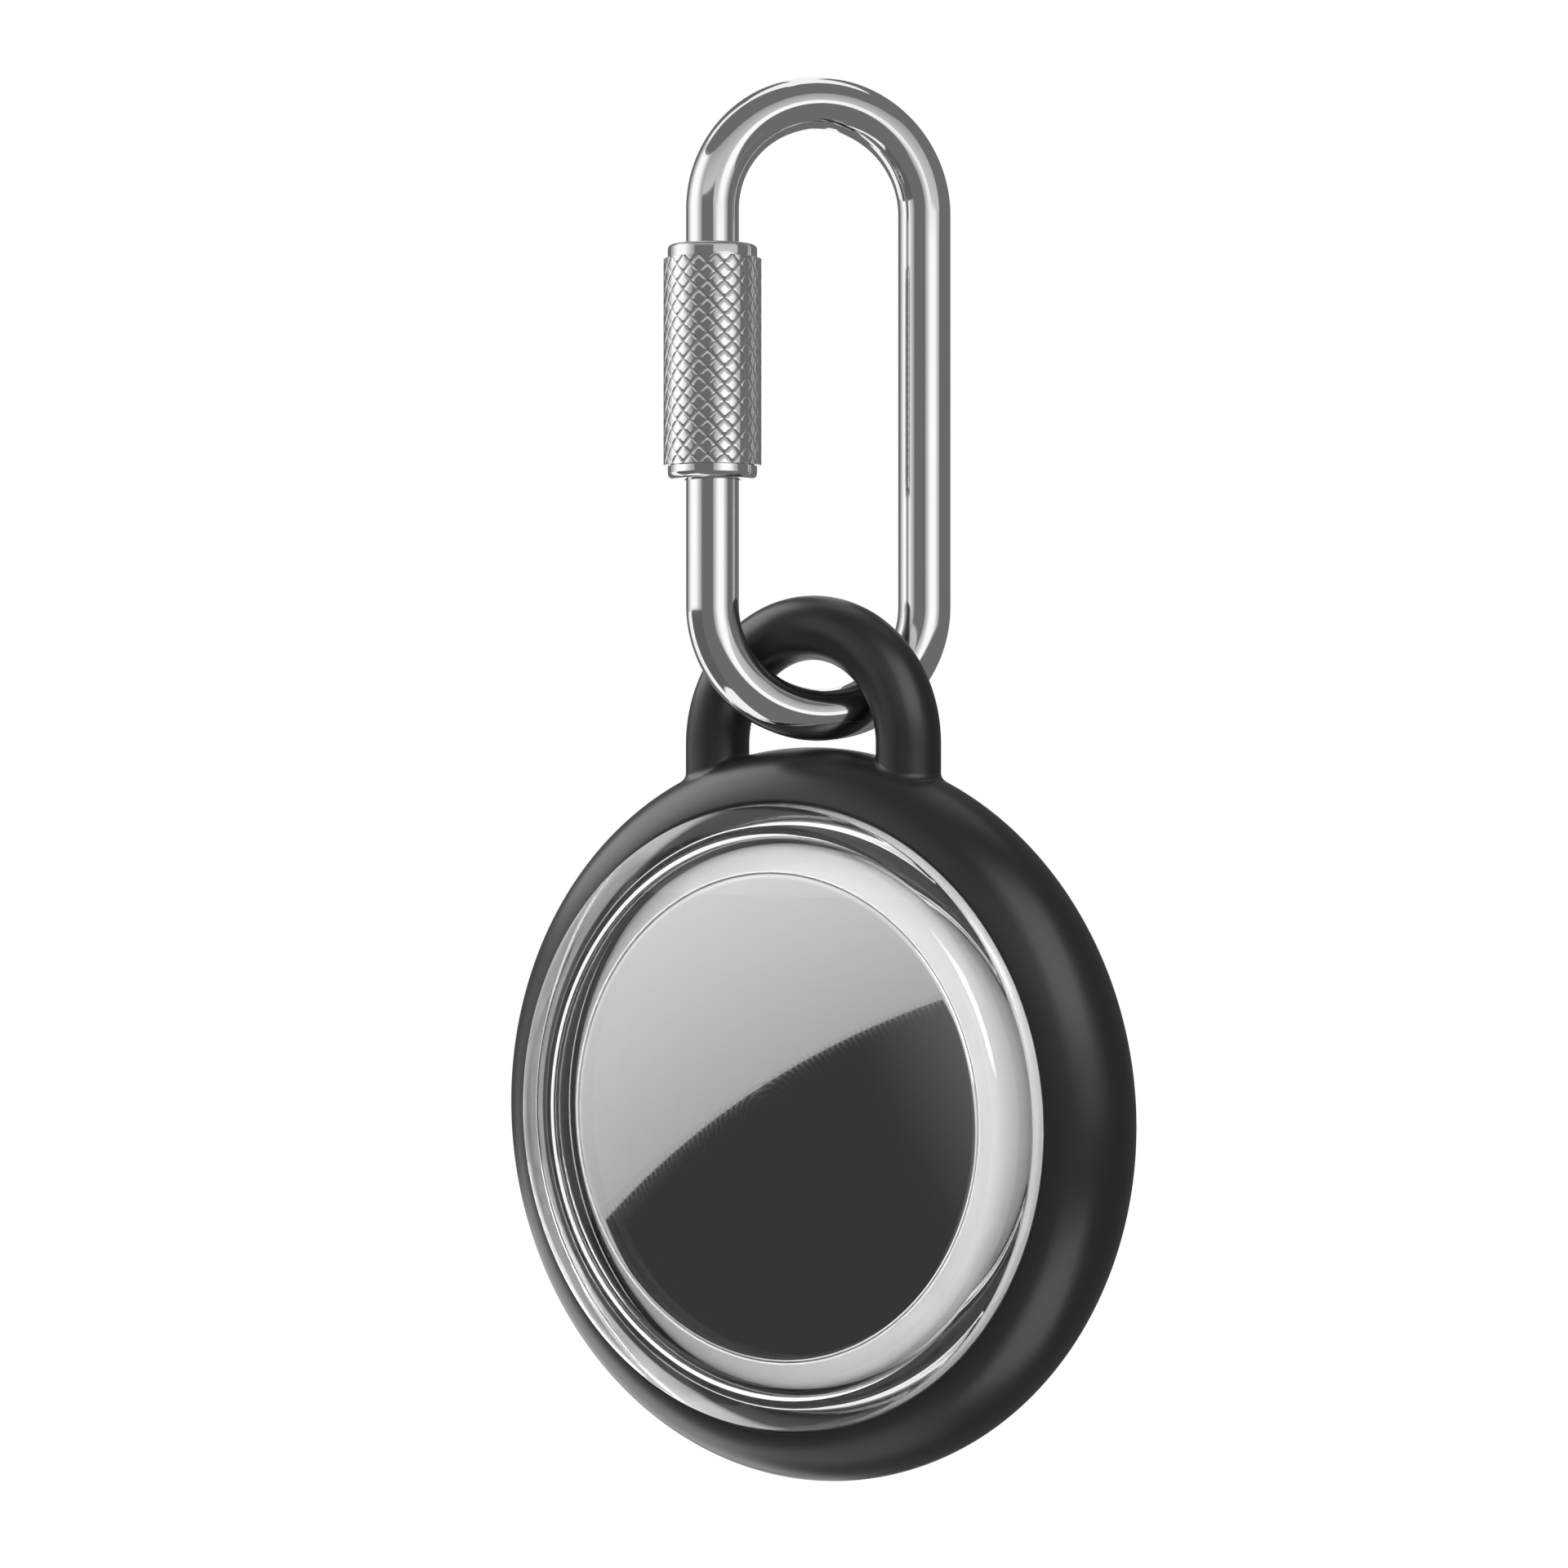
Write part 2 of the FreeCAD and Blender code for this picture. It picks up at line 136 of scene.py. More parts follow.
class SleeveSizes(bpy.types.PropertyGroup):
    """Sizes of the screw sleeve and its knurl."""
    collar_length: length("Collar length", "Smooth end of the sleeve", 0.72 * MM)
    collar_round: length("Collar round", "Rounding of the collar's end", 0.60 * MM)
    core_wall: length("Core wall", "Wall of the core under the grip", 0.29 * MM)
    bore_radius: length("Bore radius", "Bore that runs on the studs", 2.00 * MM)
    lip_radius: length("Lip radius", "Opening at the lower end", 1.56 * MM)
    lip_height: length("Lip height", "Thickness of the lower lip", 0.36 * MM)
    grip_gap: share("Grip gap", "Gap round the core as a part of the room inside the knurl", 0.125)
    diamonds_around: IntProperty(name="Diamonds around", description="Diamonds in one row", default=18, min=6)
    diamond_rows: IntProperty(name="Diamond rows", description="Rows from end to end", default=12, min=3)
    groove_depth: length("Groove depth", "Depth of the knurl", 0.07 * MM)
    groove_share: share("Groove share", "Part of a diamond taken by its bevel", 0.10)
    crown_share: share("Crown share", "Part of a diamond taken by its soft rim", 0.12)
    bevel_lift: share("Bevel lift", "Part of the knurl's depth that the bevel climbs", 0.82)
    barrel_drop: FloatProperty(name="Barrel drop", description="Barrel below the diamonds, in groove depths",
                               default=1.2, min=1, max=2)


class RingSizes(bpy.types.PropertyGroup):
    """Sizes of the black ring and its loop."""
    section_radius: length("Section radius", "Round back of the ring's section", 3.55 * MM)
    bore_radius: length("Bore radius", "Bore that holds the case", 17.14 * MM)
    groove_radius: length("Groove radius", "Floor of the groove for the case", 17.84 * MM)
    groove_half: length("Groove half width", "Half the width of that groove", 0.75 * MM)
    lip_round: length("Lip round", "Rounding at the mouth of the bore", 0.25 * MM)
    loop_radius: length("Loop radius", "From the loop's middle to the middle of its bar", 6.44 * MM)
    loop_bar: length("Loop bar radius", "Half the thickness of the loop", 1.79 * MM)
    foot_blend: length("Foot blend", "Fillet where the loop meets the ring", 0.30 * MM)


class CaseSizes(bpy.types.PropertyGroup):
    """Sizes of the clear front and rear covers."""
    window: length("Window", "Thickness of the front window", 0.80 * MM)
    window_bow: length("Window bow", "How far the window stands out in its middle", 0.23 * MM)
    shoulder_width: length("Shoulder width", "Rounded edge of the front", 1.25 * MM)
    shoulder_drop: length("Shoulder drop", "Depth of that edge", 0.30 * MM)
    shoulder_sag: length("Shoulder sag", "How far that edge stands out from a straight bevel", 0.10 * MM)
    window_inset: length("Window inset", "Inner window's edge inside the outer one", 0.79 * MM)
    skirt_wall: length("Skirt wall", "Wall of the skirt", 0.94 * MM)
    edge_round: length("Edge round", "Rounding of the moulded edges", 0.12 * MM)
    bead: length("Bead", "Bead of the rear cover in the ring", 0.70 * MM)
    rear_wall: length("Rear wall", "Thickness of the rear cover's middle", 0.85 * MM)
    rear_width: length("Rear shoulder width", "Rounded edge of the back", 4.75 * MM)
    rear_drop: length("Rear shoulder drop", "Depth of that edge", 1.50 * MM)
    rear_sag: length("Rear shoulder sag", "How far that edge stands out from a straight bevel", 0.38 * MM)
    dome_base: length("Dome base", "Where the inside dome starts", 0.40 * MM)
    # The gasket is painted dark inside this radius, as painted shade in the recess between the case's edge
    # and the ring
    painted_shade_split: share("Seal split", "Dark core of the gasket as a part of the skirt's wall", 0.56)


class TagSizes(bpy.types.PropertyGroup):
    """Sizes of the steel battery cover."""
    cover_bow: length("Cover bow", "How far the steel disc stands out in its middle", 0.25 * MM)
    cover_sheet: length("Cover sheet", "Thickness of the steel", 0.40 * MM)
    cover_round: length("Cover round", "Rolled edge of the disc", 0.12 * MM)
    cover_flange: length("Cover flange", "Width of the thicker edge", 2.27 * MM)


class Finishes(bpy.types.PropertyGroup):
    """Colours of the materials."""
    chrome: colour("Chrome", "Polished link and sleeve", (0.90, 0.90, 0.91))
    rubber: colour("Rubber", "Soft black ring", (0.007, 0.007, 0.008))
    rubber_worn: colour("Rubber, paler", "Paler patches of the ring", (0.011, 0.011, 0.012))
    clear: colour("Clear plastic", "Front and rear cover", (1.0, 1.0, 1.0))
    white: colour("White plastic", "Housing of the tag", (0.93, 0.93, 0.93))
    white_shade: colour("White plastic, shade", "Darker flow marks of the housing", (0.89, 0.89, 0.89))
    steel: colour("Steel", "Battery cover", (0.74, 0.74, 0.75))
    seal: colour("Seal", "Milky outer lip of the case's gasket", (0.80, 0.80, 0.80))
    # Painted shade: the gasket's inner part is painted dark for the shade in the recess between the case and
    # the ring
    seal_painted_shade: colour("Seal core", "Dark inner part of that gasket", (0.03, 0.03, 0.03))


class StageSettings(bpy.types.PropertyGroup):
    """Camera, light and floor."""
    camera_turn: FloatProperty(name="Camera turn", description="Camera's angle round the object",
                               default=math.radians(35.116), subtype="ANGLE")
    camera_lens: FloatProperty(name="Camera lens", description="Focal length on a 36 mm sensor",
                               default=101.53, unit="CAMERA")
    camera_distance: length("Camera distance", "From the tag to the camera", 245.34 * MM)
    camera_rise: length("Camera rise", "Camera above the tag", 18.262 * MM)
    camera_side: length("Camera side", "Camera to the left of the tag", 1.529 * MM)
    floor_drop: length("Floor drop", "Floor below the object", 0.16)
    floor_reach: length("Floor reach", "From the middle of the floor to its sides", 2.5)
    floor_near: length("Floor near", "Where the floor's shading starts to fade to white", 0.35)
    floor_far: length("Floor far", "Where the floor is all white", 0.75)
    paper: colour("Paper", "Colour of the floor", (0.80, 0.80, 0.80))
    paper_lift: share("Paper lift", "White that the lens sees on top of the floor's shading", 0.55)
    room_light: share("Room light", "Light of the room on matt surfaces", 0.25)
    wall_distance: length("Wall distance", "From the object to the corners of a reflector wall", 0.8)
    card_distance: length("Card distance", "From the steel disc to the cards that it mirrors", 0.5)


def arc(start, end, sag, steps):
    """Points of an arc that stands out from its chord by a sag, to the left of the way it runs."""
    a = Vector(start)
    chord = Vector(end) - a
    side = Vector((-chord.y, chord.x)).normalized()
    points = []
    for step in range(steps + 1):
        t = step / steps
        points.append(tuple(a + chord * t + side * (4 * sag * t * (1 - t))))
    return points


def crown(radius, top, edge, steps):
    """Points of a shallow dome from the axis out to its edge."""
    return [(radius * k / steps, top + (edge - top) * (k / steps) ** 2) for k in range(steps + 1)]


def oval(radius, rise, base, steps):
    """Points of a quarter oval from the axis out to its rim."""
    turns = [math.pi / 2 * (1 - k / steps) for k in range(steps + 1)]
    return [(radius * math.cos(a) if k else 0.0, base + rise * math.sin(a)) for k, a in enumerate(turns)]


def circle(centre, radius, start, end, steps):
    """Points of a circle from one angle to another."""
    turns = [start + (end - start) * k / steps for k in range(steps + 1)]
    return [(centre[0] + radius * math.cos(a), centre[1] + radius * math.sin(a)) for a in turns]


def rounded(outline, rounds, steps=5):
    """An outline with the corners named in rounds, by index, replaced by arcs of those radii."""
    most = 0.48  # of a side is taken by a round
    points = []
    count = len(outline)
    for index, corner in enumerate(outline):
        reach = rounds.get(index)
        if not reach:
            points.append(corner)
            continue
        spot = Vector(corner)
        back = Vector(outline[index - 1]) - spot
        ahead = Vector(outline[(index + 1) % count]) - spot
        half = back.angle(ahead) / 2
        run = min(reach / math.tan(half), most * back.length, most * ahead.length)
        centre = spot + (back.normalized() + ahead.normalized()).normalized() * (run / math.cos(half))
        first = spot + back.normalized() * run - centre
        last = spot + ahead.normalized() * run - centre
        start = math.atan2(first.y, first.x)
        sweep = (math.atan2(last.y, last.x) - start + math.pi) % (2 * math.pi) - math.pi
        points += circle(centre, first.length, start, start + sweep, steps)
    return points


def bridge(bm, first, second):
    """Faces between two rings of points, or between a ring and a single point."""
    count = max(len(first), len(second))
    for k in range(count):
        corners = [first[k % len(first)], first[(k + 1) % len(first)],
                   second[(k + 1) % len(second)], second[k % len(second)]]
        bm.faces.new(list(dict.fromkeys(corners)))


def turned(bm, outline, spot, axis, steps, closed):
    """Adds a shape turned from pairs of radius and distance along an axis through a spot."""
    on_axis = 1e-7
    rings = []
    for radius, along in outline:
        count = steps if radius > on_axis else 1
        ring = []
        for k in range(count):
            a = 2 * math.pi * k / steps
            flat = (radius * math.cos(a), radius * math.sin(a))
            local = (flat[0], along, flat[1]) if axis == "Y" else (flat[0], flat[1], along)
            ring.append(bm.verts.new(spot + Vector(local)))
        rings.append(ring)
    pairs = list(zip(rings, rings[1:]))
    if closed:
        pairs.append((rings[-1], rings[0]))
    for first, second in pairs:
        bridge(bm, first, second)


def swept(bm, rings):
    """Adds a closed bar through rings of points."""
    loops = [[bm.verts.new(p) for p in ring] for ring in rings]
    for first, second in zip(loops, loops[1:]):
        bridge(bm, first, second)
    bm.faces.new(loops[0])
    bm.faces.new(loops[-1])


def piece(name, bm, material, sharp_deg):
    """A finished object from a mesh, smooth but for edges over an angle."""
    bmesh.ops.recalc_face_normals(bm, faces=bm.faces)
    mesh = bpy.data.meshes.new(name)
    bm.to_mesh(mesh)
    bm.free()
    mesh.shade_smooth()
    mesh.set_sharp_from_angle(angle=math.radians(sharp_deg))
    mesh.materials.append(material)
    made = bpy.data.objects.new(name, mesh)
    bpy.context.scene.collection.objects.link(made)
    return made


def round_piece(name, outline, material, sharp_deg):
    """A solid piece turned on the tag's axis, from an outline that starts and ends there."""
    bm = bmesh.new()
    turned(bm, outline, TAG, "Y", ROUND_STEPS, closed=False)
    return piece(name, bm, material, sharp_deg)


def tube_piece(name, outline, material, steps):
    """A hollow piece turned on the leg's axis, from a closed outline."""
    bm = bmesh.new()
    turned(bm, outline, LEG, "Z", steps, closed=True)
    return piece(name, bm, material, sharp_deg=40)


def dress(made, body, node):
    """Sets a piece on its body in place of a CAD node."""
    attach(made, body)
    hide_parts(node)


def coat(material, nodes):
    """Gives the finish to CAD nodes that stay as they are."""
    for node in nodes:
        for slot in frame["nodes"][node].material_slots:
            slot.material = material


def feed(tree, value, socket):
    """Sets a socket to a value, or links it where the value is another node's socket."""
    if isinstance(value, bpy.types.NodeSocket):
        tree.links.new(value, socket)
    else:
        socket.default_value = value


def feed_all(tree, node, **inputs):
    """Feeds a node's inputs by their names, with an underscore for each space."""
    for label, value in inputs.items():
        feed(tree, value, node.inputs[label.replace("_", " ")])
    return node


def add_node(tree, kind, **inputs):
    """A new node with its inputs fed."""
    return feed_all(tree, tree.nodes.new(kind), **inputs)


def calc(tree, operation, first, second=0.0):
    """The outcome of a sum on one or two values."""
    node = tree.nodes.new("ShaderNodeMath")
    node.operation = operation
    feed(tree, first, node.inputs[0])
    feed(tree, second, node.inputs[1])
    return node.outputs[0]


def length_of(tree, vector):
    """How long a vector is."""
    node = tree.nodes.new("ShaderNodeVectorMath")
    node.operation = "LENGTH"
    tree.links.new(vector, node.inputs[0])
    return node.outputs["Value"]


def own_place(tree, **mapping):
    """The object's own coordinates, moved, turned or scaled."""
    spot = tree.nodes.new("ShaderNodeTexCoord")
    return add_node(tree, "ShaderNodeMapping", Vector=spot.outputs["Object"], **mapping).outputs["Vector"]


def noise_of(tree, scale, detail, stretch=(1, 1, 1)):
    """Noise in the object's own coordinates."""
    place = own_place(tree, Scale=stretch)
    return add_node(tree, "ShaderNodeTexNoise", Vector=place, Scale=scale, Detail=detail).outputs["Fac"]


def spread(tree, value, levels, span=(0.3, 0.7)):
    """A value inside a span, by default the middle of a noise, mapped to two levels."""
    return add_node(tree, "ShaderNodeMapRange", Value=value, From_Min=span[0], From_Max=span[1],
                    To_Min=levels[0], To_Max=levels[1]).outputs["Result"]


def between(tree, value, first, second):
    """A colour between two, each plain or from a socket, by a value."""
    node = tree.nodes.new("ShaderNodeMix")
    node.data_type = "RGBA"
    ends = [end if isinstance(end, bpy.types.NodeSocket) else (*end, 1) for end in (first, second)]
    return feed_all(tree, node, Factor=value, A=ends[0], B=ends[1]).outputs["Result"]


def shaded(tint, part):
    """A colour brought down to a part of its brightness."""
    return [part * c for c in tint]


def grain(tree, value, strength, depth):
    """Normals of a fine relief from a value."""
    return add_node(tree, "ShaderNodeBump", Height=value, Strength=strength, Distance=depth).outputs["Normal"]


def shader_of(name):
    """A new material, its node tree and its Principled shader."""
    material = bpy.data.materials.new(name)
    material.use_nodes = True
    return material, material.node_tree, material.node_tree.nodes["Principled BSDF"]


def chrome(name, tint, rough):
    """Polished plated metal with faint buffing marks."""
    material, tree, shader = shader_of(name)
    patches = noise_of(tree, scale=420, detail=4)
    marks = noise_of(tree, scale=3000, detail=2, stretch=(1, 1, 0.08))
    feed_all(tree, shader, Metallic=1, Base_Color=between(tree, patches, tint, shaded(tint, 0.96)),
             Roughness=spread(tree, patches, rough),
             Normal=grain(tree, marks, strength=0.015, depth=0.02 * MM))
    return material


def rubber(name, dark, pale, rough):
    """Soft matt rubber with a fine moulded grain."""
    material, tree, shader = shader_of(name)
    patches = noise_of(tree, scale=160, detail=5)
    pores = noise_of(tree, scale=9000, detail=3)
    feed_all(tree, shader, IOR=1.52, Base_Color=between(tree, patches, dark, pale),
             Roughness=spread(tree, patches, rough),
             Normal=grain(tree, pores, strength=0.08, depth=0.02 * MM))
    return material


def clear_plastic(name, tint, bend, haze):
    """Clear moulded plastic with an uneven haze."""
    material, tree, shader = shader_of(name)
    cloud = noise_of(tree, scale=260, detail=4)
    feed_all(tree, shader, Base_Color=(*tint, 1), Transmission_Weight=1, IOR=bend,
             Roughness=spread(tree, cloud, (0, haze)))
    return material


def silicone(name, lip, core, split):
    """Milky silicone that lets some light through, painted dark inside a radius as painted shade in the
    recess between the case and the ring.
    """
    material, tree, shader = shader_of(name)
    cloud = noise_of(tree, scale=240, detail=4)
    soft = 0.05 * MM
    from_axis = length_of(tree, own_place(tree, Location=-TAG, Scale=(1, 0, 1)))
    # Painted shade: the gasket takes the dark colour inside the split radius
    outside = spread(tree, from_axis, (0, 1), (split - soft, split + soft))
    milky = between(tree, cloud, lip, shaded(lip, 0.94))
    feed_all(tree, shader, Base_Color=between(tree, outside, core, milky), Transmission_Weight=0.65,
             IOR=1.41, Roughness=spread(tree, cloud, (0.40, 0.55)))
    return material


def plastic(name, main, shade, rough, relief):
    """Moulded plastic with faint flow marks."""
    material, tree, shader = shader_of(name)
    flow = noise_of(tree, scale=220, detail=4)
    grit = noise_of(tree, scale=5000, detail=2)
    feed_all(tree, shader, IOR=1.50, Base_Color=between(tree, flow, main, shade),
             Roughness=spread(tree, flow, rough),
             Normal=grain(tree, grit, strength=relief, depth=0.01 * MM))
    return material


def steel(name, tint):
    """Mirror steel with faint rings left by the polishing wheel."""
    material, tree, shader = shader_of(name)
    patches = noise_of(tree, scale=300, detail=4)
    rings = tree.nodes.new("ShaderNodeTexWave")
    rings.wave_type = "RINGS"
    rings.rings_direction = "Y"
    feed_all(tree, rings, Vector=own_place(tree, Location=-TAG), Scale=900, Distortion=1.5)
    feed_all(tree, shader, Metallic=1, Base_Color=between(tree, patches, tint, shaded(tint, 0.97)),
             Roughness=spread(tree, rings.outputs["Fac"], (0.012, 0.03)))
    return material


def sheet_metal(name, main, shade, rough):
    """Plain pressed metal, brushed one way."""
    material, tree, shader = shader_of(name)
    brush = noise_of(tree, scale=1500, detail=3, stretch=(0.05, 1, 1))
    feed_all(tree, shader, Metallic=1, Base_Color=between(tree, brush, main, shade),
             Roughness=spread(tree, brush, rough))
    return material


def board_lacquer(name):
    """Green lacquer over copper tracks."""
    material, tree, shader = shader_of(name)
    flat = own_place(tree, Rotation=(math.radians(90), 0, 0))
    tracks = add_node(tree, "ShaderNodeTexBrick", Vector=flat, Scale=700, Color1=(0.010, 0.085, 0.045, 1),
                      Color2=(0.012, 0.100, 0.052, 1), Mortar=(0.035, 0.170, 0.080, 1))
    cloud = noise_of(tree, scale=400, detail=3)
    feed_all(tree, shader, Base_Color=tracks.outputs["Color"], Roughness=spread(tree, cloud, (0.25, 0.40)))
    return material


def wound_copper(name):
    """Enamelled copper wire laid side by side."""
    material, tree, shader = shader_of(name)
    turns = tree.nodes.new("ShaderNodeTexWave")
    turns.bands_direction = "Y"
    feed_all(tree, turns, Vector=own_place(tree), Scale=1600)
    wave = turns.outputs["Fac"]
    feed_all(tree, shader, Metallic=1, Base_Color=between(tree, wave, (0.42, 0.16, 0.07), (0.72, 0.32, 0.16)),
             Roughness=spread(tree, wave, (0.25, 0.40)))
    return material


def thread_reach(link, run, span, part):
    """Radius of a stud's thread after a run along its span and a part of the way round."""
    turns = run / link.thread_pitch
    phase = (turns + part) % 1
    crest = min(1, link.thread_flank * (1 - abs(2 * phase - 1)))
    fade = min(1, turns, (span - run) / link.thread_pitch)
    return link.stud_radius - link.thread_depth * (1 - crest * fade)


def link_stations(link, collar):
    """Places along the bent wire, from the upper stud round to the lower one.

    Each has x and z in the link's plane, its heading, and its radius or, on a stud, the run and the span.
    """
    sleeve_top = high("sleeve_core").z
    bend = link.bend_radius
    tip = link.stud_radius - 1.5 * link.thread_depth  # turned down past the thread's root
    quarter = math.pi / 2
    stations = []

    def leg(z, size):
        """Adds a station on the leg that has the studs."""
        stations.append((-bend, z, quarter, size))

    def stud(start, end):
        """Adds the stations of one threaded stud."""
        span = abs(end - start)
        rows = int(span / link.thread_pitch * THREAD_ROWS)
        for row in range(rows + 1):
            leg(start + (end - start) * row / rows, (span * row / rows, span))

    upper = (sleeve_top - link.engagement, sleeve_top - link.stud_inset)
    leg(upper[0], tip)
    stud(*upper)
    leg(upper[1], link.wire_radius)
    bend_top = link.wire_radius - bend
    bend_low = low("link_bar").z + bend + link.wire_radius
    for centre, start in ((bend_top, math.pi), (bend_low, 0)):
        for step in range(LINK_BEND_STEPS + 1):
            a = start - math.pi * step / LINK_BEND_STEPS
            stations.append((bend * math.cos(a), centre + bend * math.sin(a), a - quarter, link.wire_radius))
    lower = (low("sleeve_core").z + collar, sleeve_top - SLEEVE_TRAVEL)
    leg(lower[0], link.wire_radius)
    stud(*lower)
    leg(lower[1], tip)
    return stations


def link_rings(link, collar, count):
    """Rings of points round the bent wire."""
    turn = Matrix.Rotation(LINK_TURN, 3, "Z")
    across = Vector((0, 1, 0))
    rings = []
    for x, z, heading, size in link_stations(link, collar):
        side = Vector((math.sin(heading), 0, -math.cos(heading)))
        ring = []
        for k in range(count):
            a = 2 * math.pi * k / count
            reach = thread_reach(link, *size, k / count) if isinstance(size, tuple) else size
            spot = Vector((x, 0, z)) + side * (reach * math.cos(a)) + across * (reach * math.sin(a))
            ring.append(turn @ spot)
        rings.append(ring)
    return rings


class HOLDER_OT_link(bpy.types.Operator):
    """Makes the bent wire link with its threaded studs"""
    bl_idname = "holder.link"
    bl_label = "Link"

    def execute(self, context):
        collar = context.scene.holder_sleeve.collar_length
        bm = bmesh.new()
        swept(bm, link_rings(context.scene.holder_link, collar, count=64))
        polished = chrome("polished_link", context.scene.holder_finish.chrome, rough=(0.06, 0.09))
        made = piece("link_wire", bm, polished, sharp_deg=40)
        dress(made, "link", "link_bar")
        return {"FINISHED"}


class KnurlTree:
    """Geometry Nodes that lay raised diamonds round a barrel."""

    def __init__(self, name):
        self.tree = bpy.data.node_groups.new(name, "GeometryNodeTree")
        self.sockets = {}
        self.add_socket("Geometry", "NodeSocketGeometry")
        for label in ("Radius", "Depth", "Sink", "Pitch", "Low", "High", "Bevel", "Crown", "Lift"):
            self.add_socket(label, "NodeSocketFloat")
        self.add_socket("Around", "NodeSocketInt")
        self.add_socket("Rows", "NodeSocketInt")
        self.add_socket("Spot", "NodeSocketVector")
        self.add_socket("Finish", "NodeSocketMaterial")
        self.tree.interface.new_socket("Geometry", in_out="OUTPUT", socket_type="NodeSocketGeometry")
        self.given = self.tree.nodes.new("NodeGroupInput").outputs
        diamonds = self.trimmed(self.laid_out(self.diamond()))
        self.finished(diamonds)

    def add_socket(self, label, kind):
        """Adds an input of the tree."""
        socket = self.tree.interface.new_socket(label, in_out="INPUT", socket_type=kind)
        self.sockets[label] = socket.identifier

    def node(self, kind, **inputs):
        """A node of this tree."""
        return add_node(self.tree, kind, **inputs)

    def calc(self, operation, first, second=0.0):
        """A sum in this tree."""
        return calc(self.tree, operation, first, second)

    def times(self, first, second):
        """A product in this tree."""
        return self.calc("MULTIPLY", first, second)

    def vector(self, x, y, z):
        """A vector from three values."""
        return self.node("ShaderNodeCombineXYZ", X=x, Y=y, Z=z).outputs[0]

    def place(self):
        """The coordinates of each point, apart."""
        spot = self.node("GeometryNodeInputPosition").outputs[0]
        return self.node("ShaderNodeSeparateXYZ", Vector=spot).outputs

    def diamond(self):
        """One diamond with bevelled sides, bent to the barrel.

        Its four layers are sunk in the barrel, on the barrel, at the top of the bevel and on the crown.
        """
        block = self.node("GeometryNodeMeshCube", Size=(2, 2, 2), Vertices_X=5, Vertices_Y=5, Vertices_Z=4)
        u, v, level = self.place()
        layer = self.times(self.calc("ADD", level, 1.0), 1.5)
        above = self.calc("SUBTRACT", layer, 1.0)
        raised = self.calc("MINIMUM", self.calc("MAXIMUM", above, 0.0), 1.0)
        crowned = self.calc("MAXIMUM", self.calc("SUBTRACT", layer, 2.0), 0.0)
        sunk = self.calc("MINIMUM", above, 0.0)
        inset = self.calc("ADD", self.times(raised, self.given["Bevel"]),
                          self.times(crowned, self.given["Crown"]))
        half = self.times(self.calc("SUBTRACT", 1.0, inset), 0.5)
        rest = self.calc("SUBTRACT", 1.0, self.given["Lift"])
        lift = self.calc("ADD", self.times(raised, self.given["Lift"]), self.times(crowned, rest))
        across = self.times(self.calc("ADD", u, v), half)
        along = self.times(self.calc("SUBTRACT", v, u), half)
        angle = self.times(across, self.calc("DIVIDE", math.pi, self.given["Around"]))
        reach = self.calc("ADD", self.given["Radius"], self.times(lift, self.given["Depth"]))
        reach = self.calc("ADD", reach, self.times(sunk, self.given["Sink"]))
        height = self.times(along, self.calc("DIVIDE", self.given["Pitch"], 2.0))
        place = self.vector(self.times(reach, self.calc("COSINE", angle)),
                            self.times(reach, self.calc("SINE", angle)), height)
        return self.node("GeometryNodeSetPosition", Geometry=block.outputs["Mesh"], Position=place).outputs[0]

    def laid_out(self, diamond):
        """Diamonds in rows, each row half a step round from the last."""
        around = self.given["Around"]
        rows = self.calc("ADD", self.times(self.given["Rows"], 2.0), 1.0)
        index = self.node("GeometryNodeInputIndex").outputs[0]
        row = self.calc("FLOOR", self.calc("DIVIDE", self.calc("ADD", index, 0.5), around))
        column = self.calc("FLOORED_MODULO", index, around)
        shift = self.times(self.calc("FLOORED_MODULO", row, 2.0), 0.5)
        angle = self.times(self.calc("ADD", column, shift), self.calc("DIVIDE", 2 * math.pi, around))
        climb = self.times(row, self.calc("DIVIDE", self.given["Pitch"], 2.0))
        height = self.calc("ADD", self.given["Low"], climb)
        points = self.node("GeometryNodePoints", Count=self.times(rows, around),
                           Position=self.vector(0.0, 0.0, height))
        turn = self.node("FunctionNodeEulerToRotation", Euler=self.vector(0.0, 0.0, angle))
        laid = self.node("GeometryNodeInstanceOnPoints", Points=points.outputs[0], Instance=diamond,
                         Rotation=turn.outputs[0])
        return self.node("GeometryNodeRealizeInstances", Geometry=laid.outputs[0]).outputs[0]

    def trimmed(self, diamonds):
        """Diamonds cut off square at both ends and moved to the leg."""
        x, y, z = self.place()
        height = self.calc("MINIMUM", self.calc("MAXIMUM", z, self.given["Low"]), self.given["High"])
        cut = self.node("GeometryNodeSetPosition", Geometry=diamonds, Position=self.vector(x, y, height))
        return self.node("GeometryNodeTransform", Geometry=cut.outputs[0],
                         Translation=self.given["Spot"]).outputs[0]

    def finished(self, diamonds):
        """Barrel and diamonds joined, with their finish."""
        join = self.node("GeometryNodeJoinGeometry")
        self.tree.links.new(diamonds, join.inputs[0])
        self.tree.links.new(self.given["Geometry"], join.inputs[0])
        whole = self.node("GeometryNodeRealizeInstances", Geometry=join.outputs[0])
        dressed = self.node("GeometryNodeSetMaterial", Geometry=whole.outputs[0],
                            Material=self.given["Finish"])
        self.node("NodeGroupOutput", Geometry=dressed.outputs[0])


